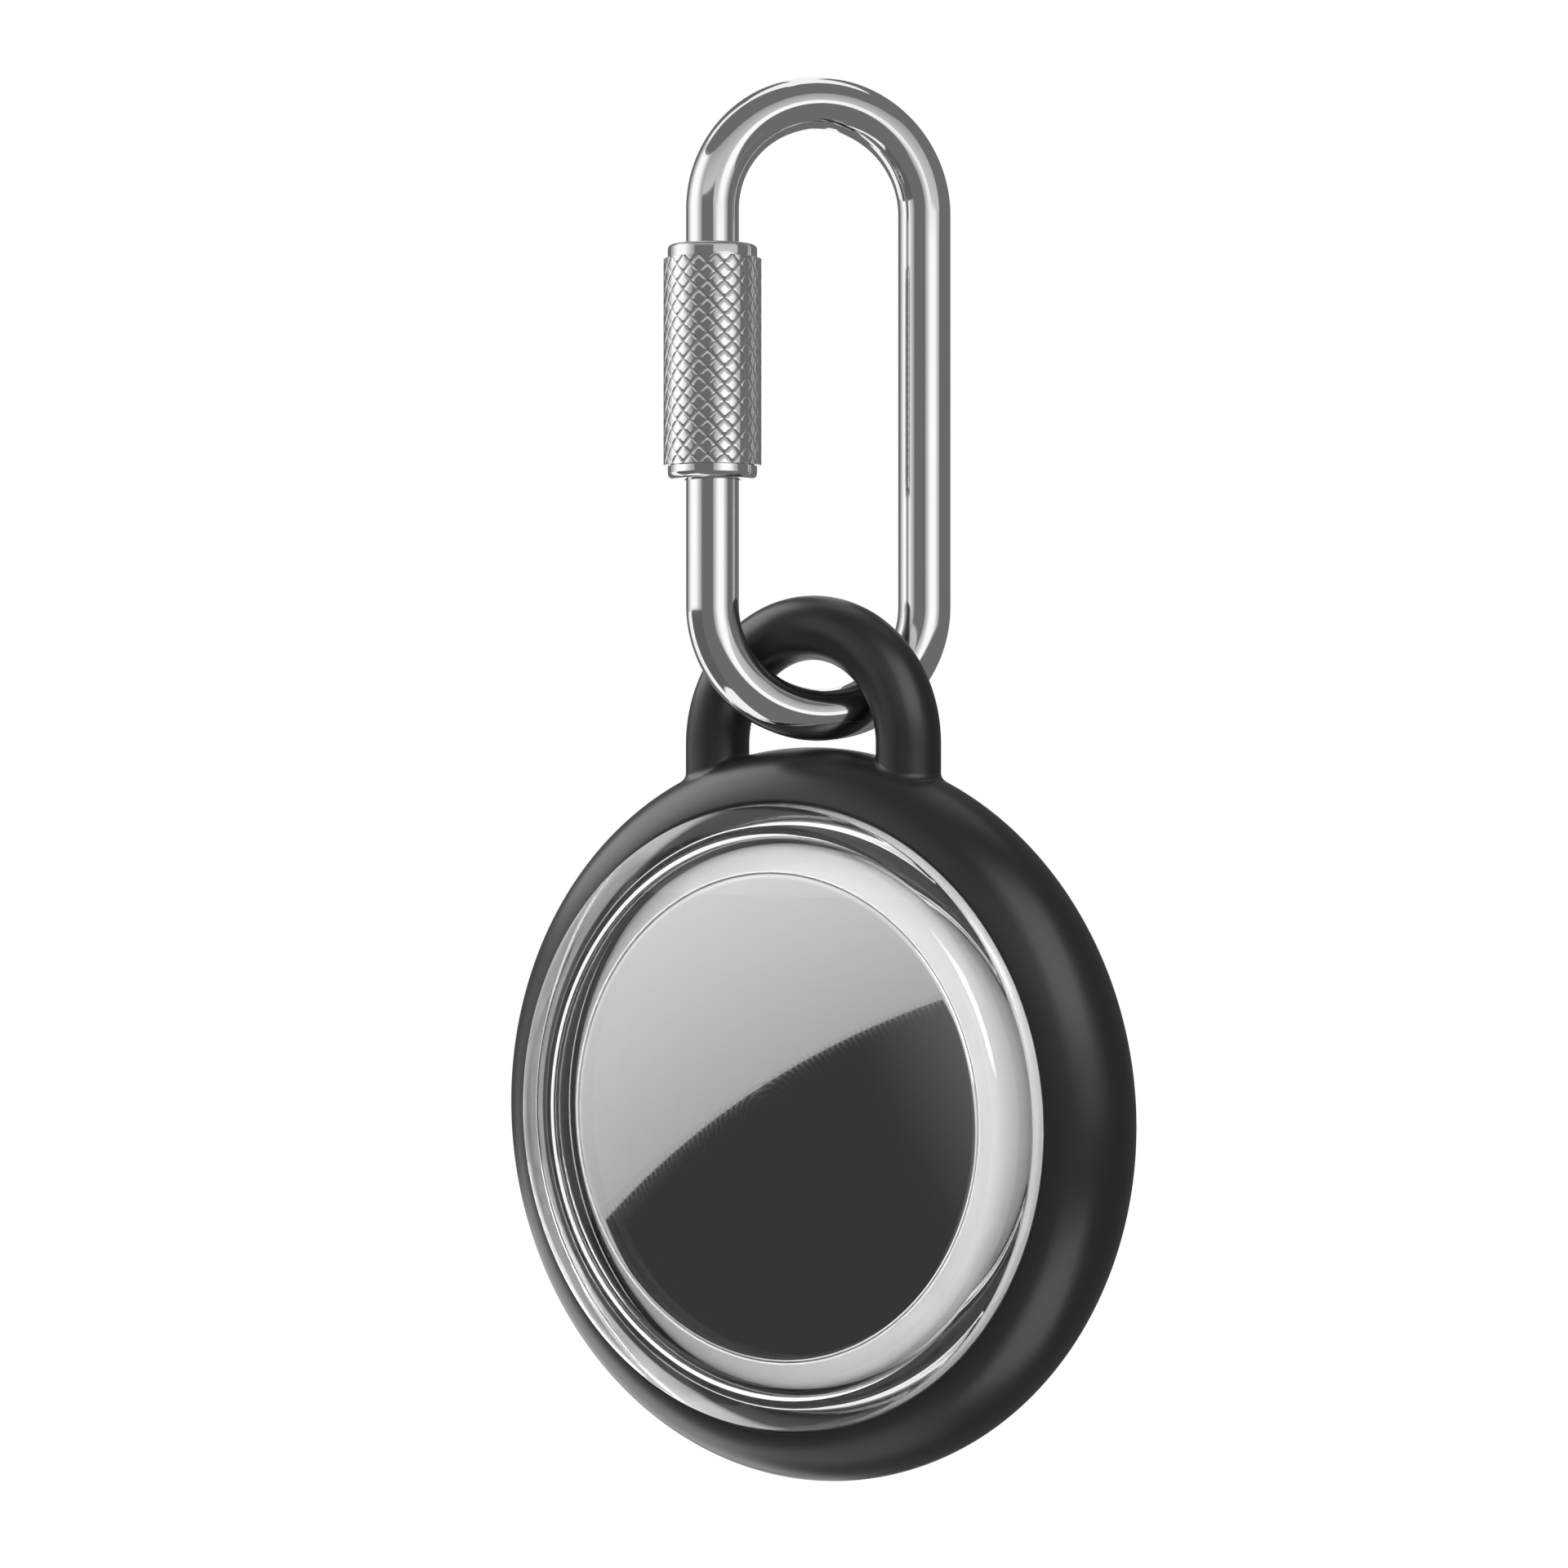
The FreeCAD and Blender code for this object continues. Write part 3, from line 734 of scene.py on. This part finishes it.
def knurled(barrel, sleeve, finish):
    """Turns a plain barrel into the knurled grip, as a plain mesh."""
    knurl = KnurlTree("knurl_diamonds")
    ends = (low("sleeve_grip").z, high("sleeve_grip").z)
    values = {
        "Radius": radius_of("sleeve_grip") - sleeve.groove_depth,
        "Depth": sleeve.groove_depth,
        "Sink": sleeve.groove_depth / 2,
        "Pitch": (ends[1] - ends[0]) / sleeve.diamond_rows,
        "Low": ends[0],
        "High": ends[1],
        "Bevel": sleeve.groove_share,
        "Crown": sleeve.crown_share,
        "Lift": sleeve.bevel_lift,
        "Around": sleeve.diamonds_around,
        "Rows": sleeve.diamond_rows,
        "Spot": LEG,
        "Finish": finish,
    }
    modifier = barrel.modifiers.new("Knurl", "NODES")
    modifier.node_group = knurl.tree
    for label, value in values.items():
        modifier[knurl.sockets[label]] = value
    depsgraph = bpy.context.evaluated_depsgraph_get()
    mesh = bpy.data.meshes.new_from_object(barrel.evaluated_get(depsgraph))
    barrel.modifiers.remove(modifier)
    bm = bmesh.new()
    bm.from_mesh(mesh)
    bmesh.ops.dissolve_degenerate(bm, dist=0.001 * MM, edges=bm.edges)
    bpy.data.objects.remove(barrel)
    return piece("sleeve_knurl", bm, finish, sharp_deg=35)


class HOLDER_OT_sleeve(bpy.types.Operator):
    """Makes the screw sleeve: smooth core with its collars, and the knurled grip"""
    bl_idname = "holder.sleeve"
    bl_label = "Sleeve"

    def execute(self, context):
        sleeve = context.scene.holder_sleeve
        finish = context.scene.holder_finish
        top = high("sleeve_core").z
        bottom = low("sleeve_core").z
        collar = radius_of("sleeve_core")
        core = sleeve.bore_radius + sleeve.core_wall
        outline = [
            (sleeve.bore_radius, top), (collar, top), (collar, top - sleeve.collar_length),
            (core, top - sleeve.collar_length), (core, bottom + sleeve.collar_length),
            (collar, bottom + sleeve.collar_length), (collar, bottom), (sleeve.lip_radius, bottom),
            (sleeve.lip_radius, bottom + sleeve.lip_height), (sleeve.bore_radius, bottom + sleeve.lip_height),
        ]
        rounds = {1: sleeve.collar_round, 6: sleeve.collar_round}
        polished = chrome("sleeve_chrome", finish.chrome, rough=(0.06, 0.09))
        made = tube_piece("sleeve_collars", rounded(outline, rounds, steps=8), polished, steps=96)
        dress(made, "sleeve_carriage", "sleeve_core")

        grip = radius_of("sleeve_grip")
        bore = core + (grip - core) * sleeve.grip_gap
        barrel = grip - sleeve.barrel_drop * sleeve.groove_depth
        ends = (low("sleeve_grip").z, high("sleeve_grip").z)
        outline = [(bore, ends[1]), (barrel, ends[1]), (barrel, ends[0]), (bore, ends[0])]
        cut = chrome("knurled_link", finish.chrome, rough=(0.08, 0.12))
        made = knurled(tube_piece("sleeve_barrel", outline, cut, steps=72), sleeve, cut)
        dress(made, "sleeve", "sleeve_grip")
        return {"FINISHED"}


def loop_foot(ring, outer, side, count):
    """Rings of points up one foot of the loop, flared where it follows the ring's back."""
    centre = outer - ring.section_radius
    sunk = 2 * ring.foot_blend
    foot = []
    for step in range(-1, FOOT_STEPS + 1):
        rise = ring.foot_blend * max(step, 0) / FOOT_STEPS
        flare = ring.foot_blend - math.sqrt(ring.foot_blend ** 2 - (ring.foot_blend - rise) ** 2)
        drop = sunk if step < 0 else 0
        points = []
        for k in range(count):
            a = 2 * math.pi * k / count
            x = side * ring.loop_radius - side * (ring.loop_bar + flare) * math.cos(a)
            y = (ring.loop_bar + flare) * math.sin(a)
            reach = centre + math.sqrt(ring.section_radius ** 2 - y ** 2)
            points.append(TAG + Vector((x, y, math.sqrt(reach ** 2 - x ** 2) + rise - drop)))
        foot.append(points)
    return foot


def loop_rings(ring, outer, count):
    """Rings of points along the loop, from foot to foot."""
    top = high("frame").z - TAG.z - ring.loop_radius - ring.loop_bar
    bend = []
    for step in range(LOOP_BEND_STEPS + 1):
        a = math.pi * (1 - step / LOOP_BEND_STEPS)
        points = []
        for k in range(count):
            b = 2 * math.pi * k / count
            reach = ring.loop_radius - ring.loop_bar * math.cos(b)
            spot = Vector((reach * math.cos(a), ring.loop_bar * math.sin(b), top + reach * math.sin(a)))
            points.append(TAG + spot)
        bend.append(points)
    return loop_foot(ring, outer, -1, count) + bend + loop_foot(ring, outer, 1, count)[::-1]


class HOLDER_OT_ring(bpy.types.Operator):
    """Makes the soft black ring with its loop"""
    bl_idname = "holder.ring"
    bl_label = "Ring frame"

    def execute(self, context):
        ring = context.scene.holder_ring
        finish = context.scene.holder_finish
        outer = high("frame").x - TAG.x
        centre = outer - ring.section_radius
        lip = ring.bore_radius + ring.lip_round
        lip_y = math.sqrt((ring.section_radius - ring.lip_round) ** 2 - (lip - centre) ** 2)
        reach = math.atan2(lip_y, lip - centre)
        outline = circle((centre, 0), ring.section_radius, -reach, reach, steps=64)
        outline += circle((lip, lip_y), ring.lip_round, reach, math.pi, steps=6)[1:]
        outline += [
            (ring.bore_radius, ring.groove_half), (ring.groove_radius, ring.groove_half),
            (ring.groove_radius, -ring.groove_half), (ring.bore_radius, -ring.groove_half),
        ]
        outline += circle((lip, -lip_y), ring.lip_round, -math.pi, -reach, steps=6)[:-1]
        bm = bmesh.new()
        turned(bm, outline, TAG, "Y", ROUND_STEPS, closed=True)
        swept(bm, loop_rings(ring, outer, count=48))
        black = rubber("black_rubber", finish.rubber, finish.rubber_worn, rough=(0.30, 0.36))
        made = piece("ring_and_loop", bm, black, sharp_deg=40)
        dress(made, "holder", "frame")
        return {"FINISHED"}


class HOLDER_OT_case(bpy.types.Operator):
    """Makes the clear front cover and rear cover, and coats the seal between them"""
    bl_idname = "holder.case"
    bl_label = "Clear case"

    def execute(self, context):
        case = context.scene.holder_case
        finish = context.scene.holder_finish
        clear = clear_plastic("clear_case", finish.clear, bend=1.49, haze=0.006)
        outer = radius_of("front_shell")
        inner = outer - case.skirt_wall
        front = low("front_shell").y
        skirt = high("front_shell").y
        flat = outer - case.shoulder_width
        edge = front + case.window_bow
        inner_flat = flat - case.window_inset
        # The inside corner is a quarter circle that touches the CAD's bevel of 45 degrees in its middle
        sweep = (inner - inner_flat) * (1 + math.sqrt(0.5))
        bowl = inner - sweep
        bowl_edge = front + case.window + case.window_bow * (bowl / inner_flat) ** 2
        outline = crown(flat, front, edge, steps=24)[:-1]
        outline += arc((outer, edge + case.shoulder_drop), (flat, edge), case.shoulder_sag, steps=10)[::-1]
        corners = len(outline)
        outline += [(outer, skirt), (inner, skirt)]
        outline += circle((bowl, bowl_edge + sweep), sweep, 0, -math.pi / 2, steps=20)
        outline += crown(bowl, front + case.window, bowl_edge, steps=24)[-2::-1]
        rounds = {corners - 1: case.edge_round, corners: case.edge_round, corners + 1: case.edge_round}
        made = round_piece("front_window", rounded(outline, rounds), clear, sharp_deg=25)
        dress(made, "window", "front_shell")

        back = high("rear_shell").y
        bead = radius_of("rear_shell")
        apex = back - case.rear_wall
        rim = (outer, back - case.rear_drop)
        outline = oval(inner, apex - case.dome_base, case.dome_base, steps=40)
        corners = len(outline)
        outline += [
            (inner, low("rear_shell").y), (bead, low("rear_shell").y), (bead, case.bead),
            (outer, case.bead), rim,
        ]
        outline += arc((outer - case.rear_width, back), rim, case.rear_sag, steps=16)[-2::-1]
        outline.append((0.0, back))
        rounds = {corners + 1: case.edge_round, corners + 2: case.edge_round}
        made = round_piece("rear_cover", rounded(outline, rounds), clear, sharp_deg=25)
        dress(made, "holder", "rear_shell")

        # The gasket's inner part is painted dark as painted shade in the recess behind the case's edge
        split = inner + case.painted_shade_split * case.skirt_wall
        coat(silicone("seal_rubber", finish.seal, finish.seal_painted_shade, split), ["seal_ring"])
        return {"FINISHED"}


class HOLDER_OT_tag(bpy.types.Operator):
    """Makes the steel battery cover and coats the white housing of the tag"""
    bl_idname = "holder.tag"
    bl_label = "Tracker tag"

    def execute(self, context):
        tag = context.scene.holder_tag
        finish = context.scene.holder_finish
        outer = radius_of("battery_cover")
        front = low("battery_cover").y
        back = high("battery_cover").y
        step = outer - tag.cover_flange
        sheet = front + tag.cover_sheet
        outline = crown(outer, front, front + tag.cover_bow, steps=40)
        corner = len(outline) - 1
        outline += [(outer, back), (step, back), (step, sheet), (0.0, sheet)]
        mirror = steel("polished_steel", finish.steel)
        made = round_piece("steel_cover", rounded(outline, {corner: tag.cover_round}), mirror, sharp_deg=30)
        dress(made, "cover", "battery_cover")

        white = plastic("white_plastic", finish.white, finish.white_shade, rough=(0.16, 0.26), relief=0.02)
        coat(white, ["tag_rim", "tag_dome"])
        glue = plastic("adhesive", (0.55, 0.50, 0.36), (0.48, 0.43, 0.30), rough=(0.5, 0.7), relief=0.1)
        coat(glue, ["dome_adhesive"])
        return {"FINISHED"}


# Plastics inside the tag: colour, shade, roughness, relief and CAD nodes
INNER_PLASTICS = {
    "inner_plastic": ((0.30, 0.30, 0.31), (0.26, 0.26, 0.27), (0.4, 0.55), 0.08,
                      ["cover_lock_ring", "battery_tray", "antenna_carrier"]),
    "gasket_plastic": ((0.10, 0.16, 0.30), (0.08, 0.13, 0.26), (0.4, 0.5), 0.05, ["cell_gasket"]),
    "chip": ((0.018, 0.018, 0.020), (0.026, 0.026, 0.028), (0.5, 0.65), 0.15, ["main_chip"]),
}
# Metals inside the tag: colour, shade, roughness and CAD nodes
INNER_METALS = {
    "cell_steel": ((0.66, 0.66, 0.67), (0.58, 0.58, 0.59), (0.22, 0.34), ["cell_can", "cell_cap"]),
    "contact_metal": ((0.83, 0.66, 0.33), (0.74, 0.58, 0.28), (0.2, 0.32),
                      ["positive_contacts", "negative_contact"]),
    "shield_tin": ((0.72, 0.72, 0.71), (0.64, 0.64, 0.63), (0.24, 0.36),
                   ["radio_shield", "speaker_yoke", "speaker_plate"]),
    "magnet": ((0.52, 0.52, 0.53), (0.45, 0.45, 0.46), (0.3, 0.42), ["speaker_magnet"]),
}


class HOLDER_OT_inside(bpy.types.Operator):
    """Coats the cell, contacts, board, speaker and antenna inside the tag"""
    bl_idname = "holder.inside"
    bl_label = "Inside of the tag"

    def execute(self, context):
        for name, (*look, nodes) in INNER_PLASTICS.items():
            coat(plastic(name, *look), nodes)
        for name, (*look, nodes) in INNER_METALS.items():
            coat(sheet_metal(name, *look), nodes)
        coat(board_lacquer("board"), ["circuit_board"])
        coat(wound_copper("copper"), ["speaker_coil", "antenna_trace"])
        return {"FINISHED"}


# Reflector walls round the object: azimuths, elevations and which glow they have
WALLS = {
    "wall_front": ((-47, 3), (-60, 16), "grey"),
    "wall_low_right": ((3, 68), (-60, -2), "grey"),
    "wall_raised": ((-47, 3), (16, 38), "pale"),
    "wall_raised_right": ((3, 68), (11, 38), "pale"),
    "softbox_right": ((3, 68), (-2, 11), "bright"),
    "softbox_left": ((-132, -47), (1.2, 38), "bright"),
    "wall_right": ((68, 172), (-60, 60), "grey"),
    "wall_left": ((-172, -132), (-60, 60), "grey"),
    "wall_low_left": ((-105, -47), (-45, 1.2), "dim"),
    "wall_above": ((-110, 110), (38, 88), "grey"),
    "wall_below": ((-47, 180), (-88, -25), "grey"),
    "wall_below_left": ((-180, -120), (-88, -45), "grey"),
}
# Edge that the pale and dark cards share, sideways and up, with its sag, and how far each reaches off it
CARD_EDGE = ((0.120, -0.092), (-0.110, 0.049), -0.0255)
PALE_CARD_REACH = (0.08, 0.10)
DARK_CARD_REACH = (-0.10, -0.17)
# Soft boxes for the black ring alone, close by: azimuth, elevation and power
RING_LAMPS = {
    "lamp_right_high": (28, 37, 0.50),
    "lamp_right_low": (18, -47, 0.45),
    "lamp_left_high": (-115, 35, 0.52),
    "lamp_left_low": (-138, -32, 0.36),
}
RING_LAMP_DISTANCE = 0.35
RING_LAMP_SIZE = (0.31, 0.26)
# Lamps for matt surfaces, further off: azimuth, elevation, size and power
MATT_LAMPS = {
    "lamp_tag": (-20, 20, (0.4, 0.5), 8.5),
    "lamp_back": (140, 45, (0.6, 0.6), 5),
}
MATT_LAMP_DISTANCE = 1.0


def directions(stage):
    """The camera's own way back, right and up."""
    turn = stage.camera_turn
    back = Vector((math.sin(turn), -math.cos(turn), 0))
    right = Vector((math.cos(turn), math.sin(turn), 0))
    return back, right, Vector((0, 0, 1))


def around(stage, azimuth, elevation, distance):
    """A place round the object: zero is behind the camera, positive to its right and up."""
    back, right, up = directions(stage)
    a = math.radians(azimuth)
    e = math.radians(elevation)
    way = back * (math.cos(a) * math.cos(e)) + right * (math.sin(a) * math.cos(e)) + up * math.sin(e)
    return Vector((0, 0, middle("frame").z)) + way * distance


def empty_material(name):
    """A new material and its node tree, with no nodes yet."""
    material = bpy.data.materials.new(name)
    material.use_nodes = True
    material.node_tree.nodes.clear()
    return material, material.node_tree


def glow(name, first, second, way="X", span=None, peak=False):
    """Emission that grades from one grey to another along or up a card, evenly or eased over a span.

    With a peak, it grades from both edges to the middle.
    """
    material, tree = empty_material(name)
    spot = tree.nodes.new("ShaderNodeUVMap")
    fade = add_node(tree, "ShaderNodeSeparateXYZ", Vector=spot.outputs["UV"]).outputs[way]
    if peak:
        fade = calc(tree, "PINGPONG", fade, 0.5)
    if span:
        ease = add_node(tree, "ShaderNodeMapRange", Value=fade, From_Min=span[0], From_Max=span[1])
        ease.interpolation_type = "SMOOTHSTEP"
        fade = ease.outputs["Result"]
    light = add_node(tree, "ShaderNodeEmission", Color=between(tree, fade, (first,) * 3, (second,) * 3))
    add_node(tree, "ShaderNodeOutputMaterial", Surface=light.outputs[0])
    return material


def card(name, corners, material, seen_by_metal, seen_by_glass):
    """A reflector card through rows of corners, unseen by the camera."""
    mesh = bpy.data.meshes.new(name)
    rows = len(corners)
    columns = len(corners[0])
    points = [p for row in corners for p in row]
    faces = []
    for r in range(rows - 1):
        for c in range(columns - 1):
            start = r * columns + c
            faces.append((start, start + 1, start + columns + 1, start + columns))
    mesh.from_pydata(points, [], faces)
    uv = mesh.uv_layers.new(name="UVMap")
    for loop in mesh.loops:
        row, column = divmod(loop.vertex_index, columns)
        uv.data[loop.index].uv = (column / (columns - 1), row / (rows - 1))
    mesh.materials.append(material)
    made = bpy.data.objects.new(name, mesh)
    bpy.context.scene.collection.objects.link(made)
    made.visible_camera = False
    made.visible_diffuse = False
    made.visible_shadow = False
    made.visible_glossy = seen_by_metal
    made.visible_transmission = seen_by_glass


def reflector_walls(stage):
    """Grey, pale and bright walls that only metal and gloss see."""
    glows = {
        "grey": glow("grey_wall", 0.16, 0.16),
        "dim": glow("dim_wall", 0.12, 0.12),
        "pale": glow("pale_wall", 0.60, 0.36, "Y"),
        "bright": glow("softbox", 0.40, 1.1, "X", span=(0, 0.4), peak=True),
    }
    for name, ((start, end), elevations, kind) in WALLS.items():
        turns = [start + (end - start) * k / WALL_STEPS for k in range(WALL_STEPS + 1)]
        rows = [[around(stage, turn, e, stage.wall_distance) for turn in turns] for e in elevations]
        card(name, rows, glows[kind], seen_by_metal=True, seen_by_glass=False)


def mirror_cards(stage, camera):
    """Pale and dark cards where the steel disc mirrors the camera through the window."""
    spot = TAG + Vector((0, low("battery_cover").y, 0))
    sight = (spot - camera.location).normalized()
    way = Vector((sight.x, -sight.y, sight.z))
    side = way.cross(Vector((0, 0, 1))).normalized()
    rise = side.cross(way)
    centre = spot + way * stage.card_distance
    edge = arc(*CARD_EDGE, steps=24)

    def from_edge(reach):
        """Rows of a card from the edge that both share to where it ends."""
        return [[centre + side * (x + dx) + rise * (y + dy) for x, y in edge] for dx, dy in ((0, 0), reach)]

    pale = glow("pale_card", 0.56, 1.25, "Y")
    dark = glow("dark_card", 0.043, 0.17, "X", span=(0.68, 0.90))
    card("pale_card", from_edge(PALE_CARD_REACH), pale, seen_by_metal=False, seen_by_glass=True)
    card("dark_card", from_edge(DARK_CARD_REACH), dark, seen_by_metal=False, seen_by_glass=True)


def lamp(stage, name, azimuth, elevation, distance, size, power):
    """A softbox turned to the object."""
    data = bpy.data.lights.new(name, "AREA")
    data.shape = "RECTANGLE"
    data.size, data.size_y = size
    data.energy = power
    made = bpy.data.objects.new(name, data)
    made.location = around(stage, azimuth, elevation, distance)
    aim = Vector((0, 0, middle("frame").z)) - made.location
    made.rotation_euler = aim.to_track_quat("-Z", "Y").to_euler()
    made.visible_camera = False
    bpy.context.scene.collection.objects.link(made)
    return made


def lamps(stage):
    """Lamps that don't show in the metal: some light the black ring alone, the others matt surfaces."""
    ring_only = bpy.data.collections.new("lit_ring")
    ring_only.objects.link(bpy.data.objects["ring_and_loop"])
    for name, (azimuth, elevation, power) in RING_LAMPS.items():
        made = lamp(stage, name, azimuth, elevation, RING_LAMP_DISTANCE, RING_LAMP_SIZE, power)
        made.light_linking.receiver_collection = ring_only
    for name, (azimuth, elevation, size, power) in MATT_LAMPS.items():
        made = lamp(stage, name, azimuth, elevation, MATT_LAMP_DISTANCE, size, power)
        made.visible_glossy = False


def seen_by_lens_and_gloss(tree):
    """One for camera, glossy and transmission rays, zero for the light on matt surfaces."""
    path = tree.nodes.new("ShaderNodeLightPath").outputs
    seen = calc(tree, "MAXIMUM", path["Is Camera Ray"], path["Is Glossy Ray"])
    return calc(tree, "MAXIMUM", seen, path["Is Transmission Ray"])


def fade_shaders(tree, fade, first, second):
    """One shader that gives way to another."""
    node = add_node(tree, "ShaderNodeMixShader", Fac=fade)
    tree.links.new(first, node.inputs[1])
    tree.links.new(second, node.inputs[2])
    return node.outputs[0]


def paper_floor(stage):
    """Pale floor that shows white to the camera and keeps the object's shadow."""
    material, tree = empty_material("paper_floor")
    matt = add_node(tree, "ShaderNodeBsdfDiffuse", Color=(*stage.paper, 1)).outputs[0]
    lift = add_node(tree, "ShaderNodeEmission", Strength=stage.paper_lift).outputs[0]
    white = tree.nodes.new("ShaderNodeEmission").outputs[0]
    near = tree.nodes.new("ShaderNodeAddShader")
    tree.links.new(matt, near.inputs[0])
    tree.links.new(lift, near.inputs[1])
    far = spread(tree, length_of(tree, own_place(tree)), (0, 1), (stage.floor_near, stage.floor_far))
    plain = fade_shaders(tree, far, near.outputs[0], white)
    seen = fade_shaders(tree, seen_by_lens_and_gloss(tree), matt, plain)
    add_node(tree, "ShaderNodeOutputMaterial", Surface=seen)
    reach = stage.floor_reach
    height = low("frame").z - stage.floor_drop
    mesh = bpy.data.meshes.new("floor")
    mesh.from_pydata([(-reach, -reach, height), (reach, -reach, height), (reach, reach, height),
                      (-reach, reach, height)], [], [(0, 1, 2, 3)])
    mesh.materials.append(material)
    made = bpy.data.objects.new("floor", mesh)
    # Walls take its place in metal, and the low lamps shine up through it
    made.visible_glossy = False
    made.visible_shadow = False
    bpy.context.scene.collection.objects.link(made)


def white_room(stage):
    """World that is white to the camera, metal and glass, and a plain level on matt surfaces."""
    world = bpy.data.worlds.new("white_room")
    world.use_nodes = True
    bpy.context.scene.world = world
    tree = world.node_tree
    level = spread(tree, seen_by_lens_and_gloss(tree), (stage.room_light, 1), (0, 1))
    feed_all(tree, tree.nodes["Background"], Color=(1, 1, 1, 1), Strength=level)


class HOLDER_OT_stage(bpy.types.Operator):
    """Sets the floor, the room, the lamps, the reflector cards and the camera"""
    bl_idname = "holder.stage"
    bl_label = "Stage"

    def execute(self, context):
        stage = context.scene.holder_stage
        back, right, up = directions(stage)
        data = bpy.data.cameras.new("camera")
        data.sensor_width = 36
        data.lens = stage.camera_lens
        camera = bpy.data.objects.new("camera", data)
        camera.location = (TAG + back * stage.camera_distance - right * stage.camera_side
                           + up * stage.camera_rise)
        camera.rotation_euler = (math.radians(90), 0, stage.camera_turn)
        context.scene.collection.objects.link(camera)
        context.scene.camera = camera
        context.scene.view_settings.view_transform = "Standard"
        white_room(stage)
        paper_floor(stage)
        mirror_cards(stage, camera)
        reflector_walls(stage)
        lamps(stage)
        return {"FINISHED"}


class HOLDER_PT_panel(bpy.types.Panel):
    """Sizes, colours and steps of the tag holder"""
    bl_idname = "HOLDER_PT_panel"
    bl_label = "Tag holder"
    bl_space_type = "VIEW_3D"
    bl_region_type = "UI"
    bl_category = "Tag holder"

    def draw(self, context):
        for group in GROUPS:
            box = self.layout.box()
            settings = getattr(context.scene, group)
            box.label(text=settings.bl_rna.description)
            for name in GROUPS[group].__annotations__:
                box.prop(settings, name)
        for operator in OPERATORS:
            self.layout.operator(operator.bl_idname)


GROUPS = {
    "holder_link": LinkSizes,
    "holder_sleeve": SleeveSizes,
    "holder_ring": RingSizes,
    "holder_case": CaseSizes,
    "holder_tag": TagSizes,
    "holder_finish": Finishes,
    "holder_stage": StageSettings,
}
OPERATORS = (HOLDER_OT_link, HOLDER_OT_sleeve, HOLDER_OT_ring, HOLDER_OT_case, HOLDER_OT_tag,
             HOLDER_OT_inside, HOLDER_OT_stage)


def register():
    """Adds the classes, and the settings to the scene."""
    for cls in (*GROUPS.values(), *OPERATORS, HOLDER_PT_panel):
        bpy.utils.register_class(cls)
    for name, cls in GROUPS.items():
        setattr(bpy.types.Scene, name, PointerProperty(type=cls))


def unregister():
    """Takes away what register added."""
    for name in GROUPS:
        delattr(bpy.types.Scene, name)
    for cls in (HOLDER_PT_panel, *reversed(OPERATORS), *reversed(GROUPS.values())):
        bpy.utils.unregister_class(cls)


def main():
    """Makes every piece and the stage."""
    register()
    for operator in OPERATORS:
        group, name = operator.bl_idname.split(".")
        getattr(getattr(bpy.ops, group), name)()
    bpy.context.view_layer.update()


if __name__ == "__main__":
    main()
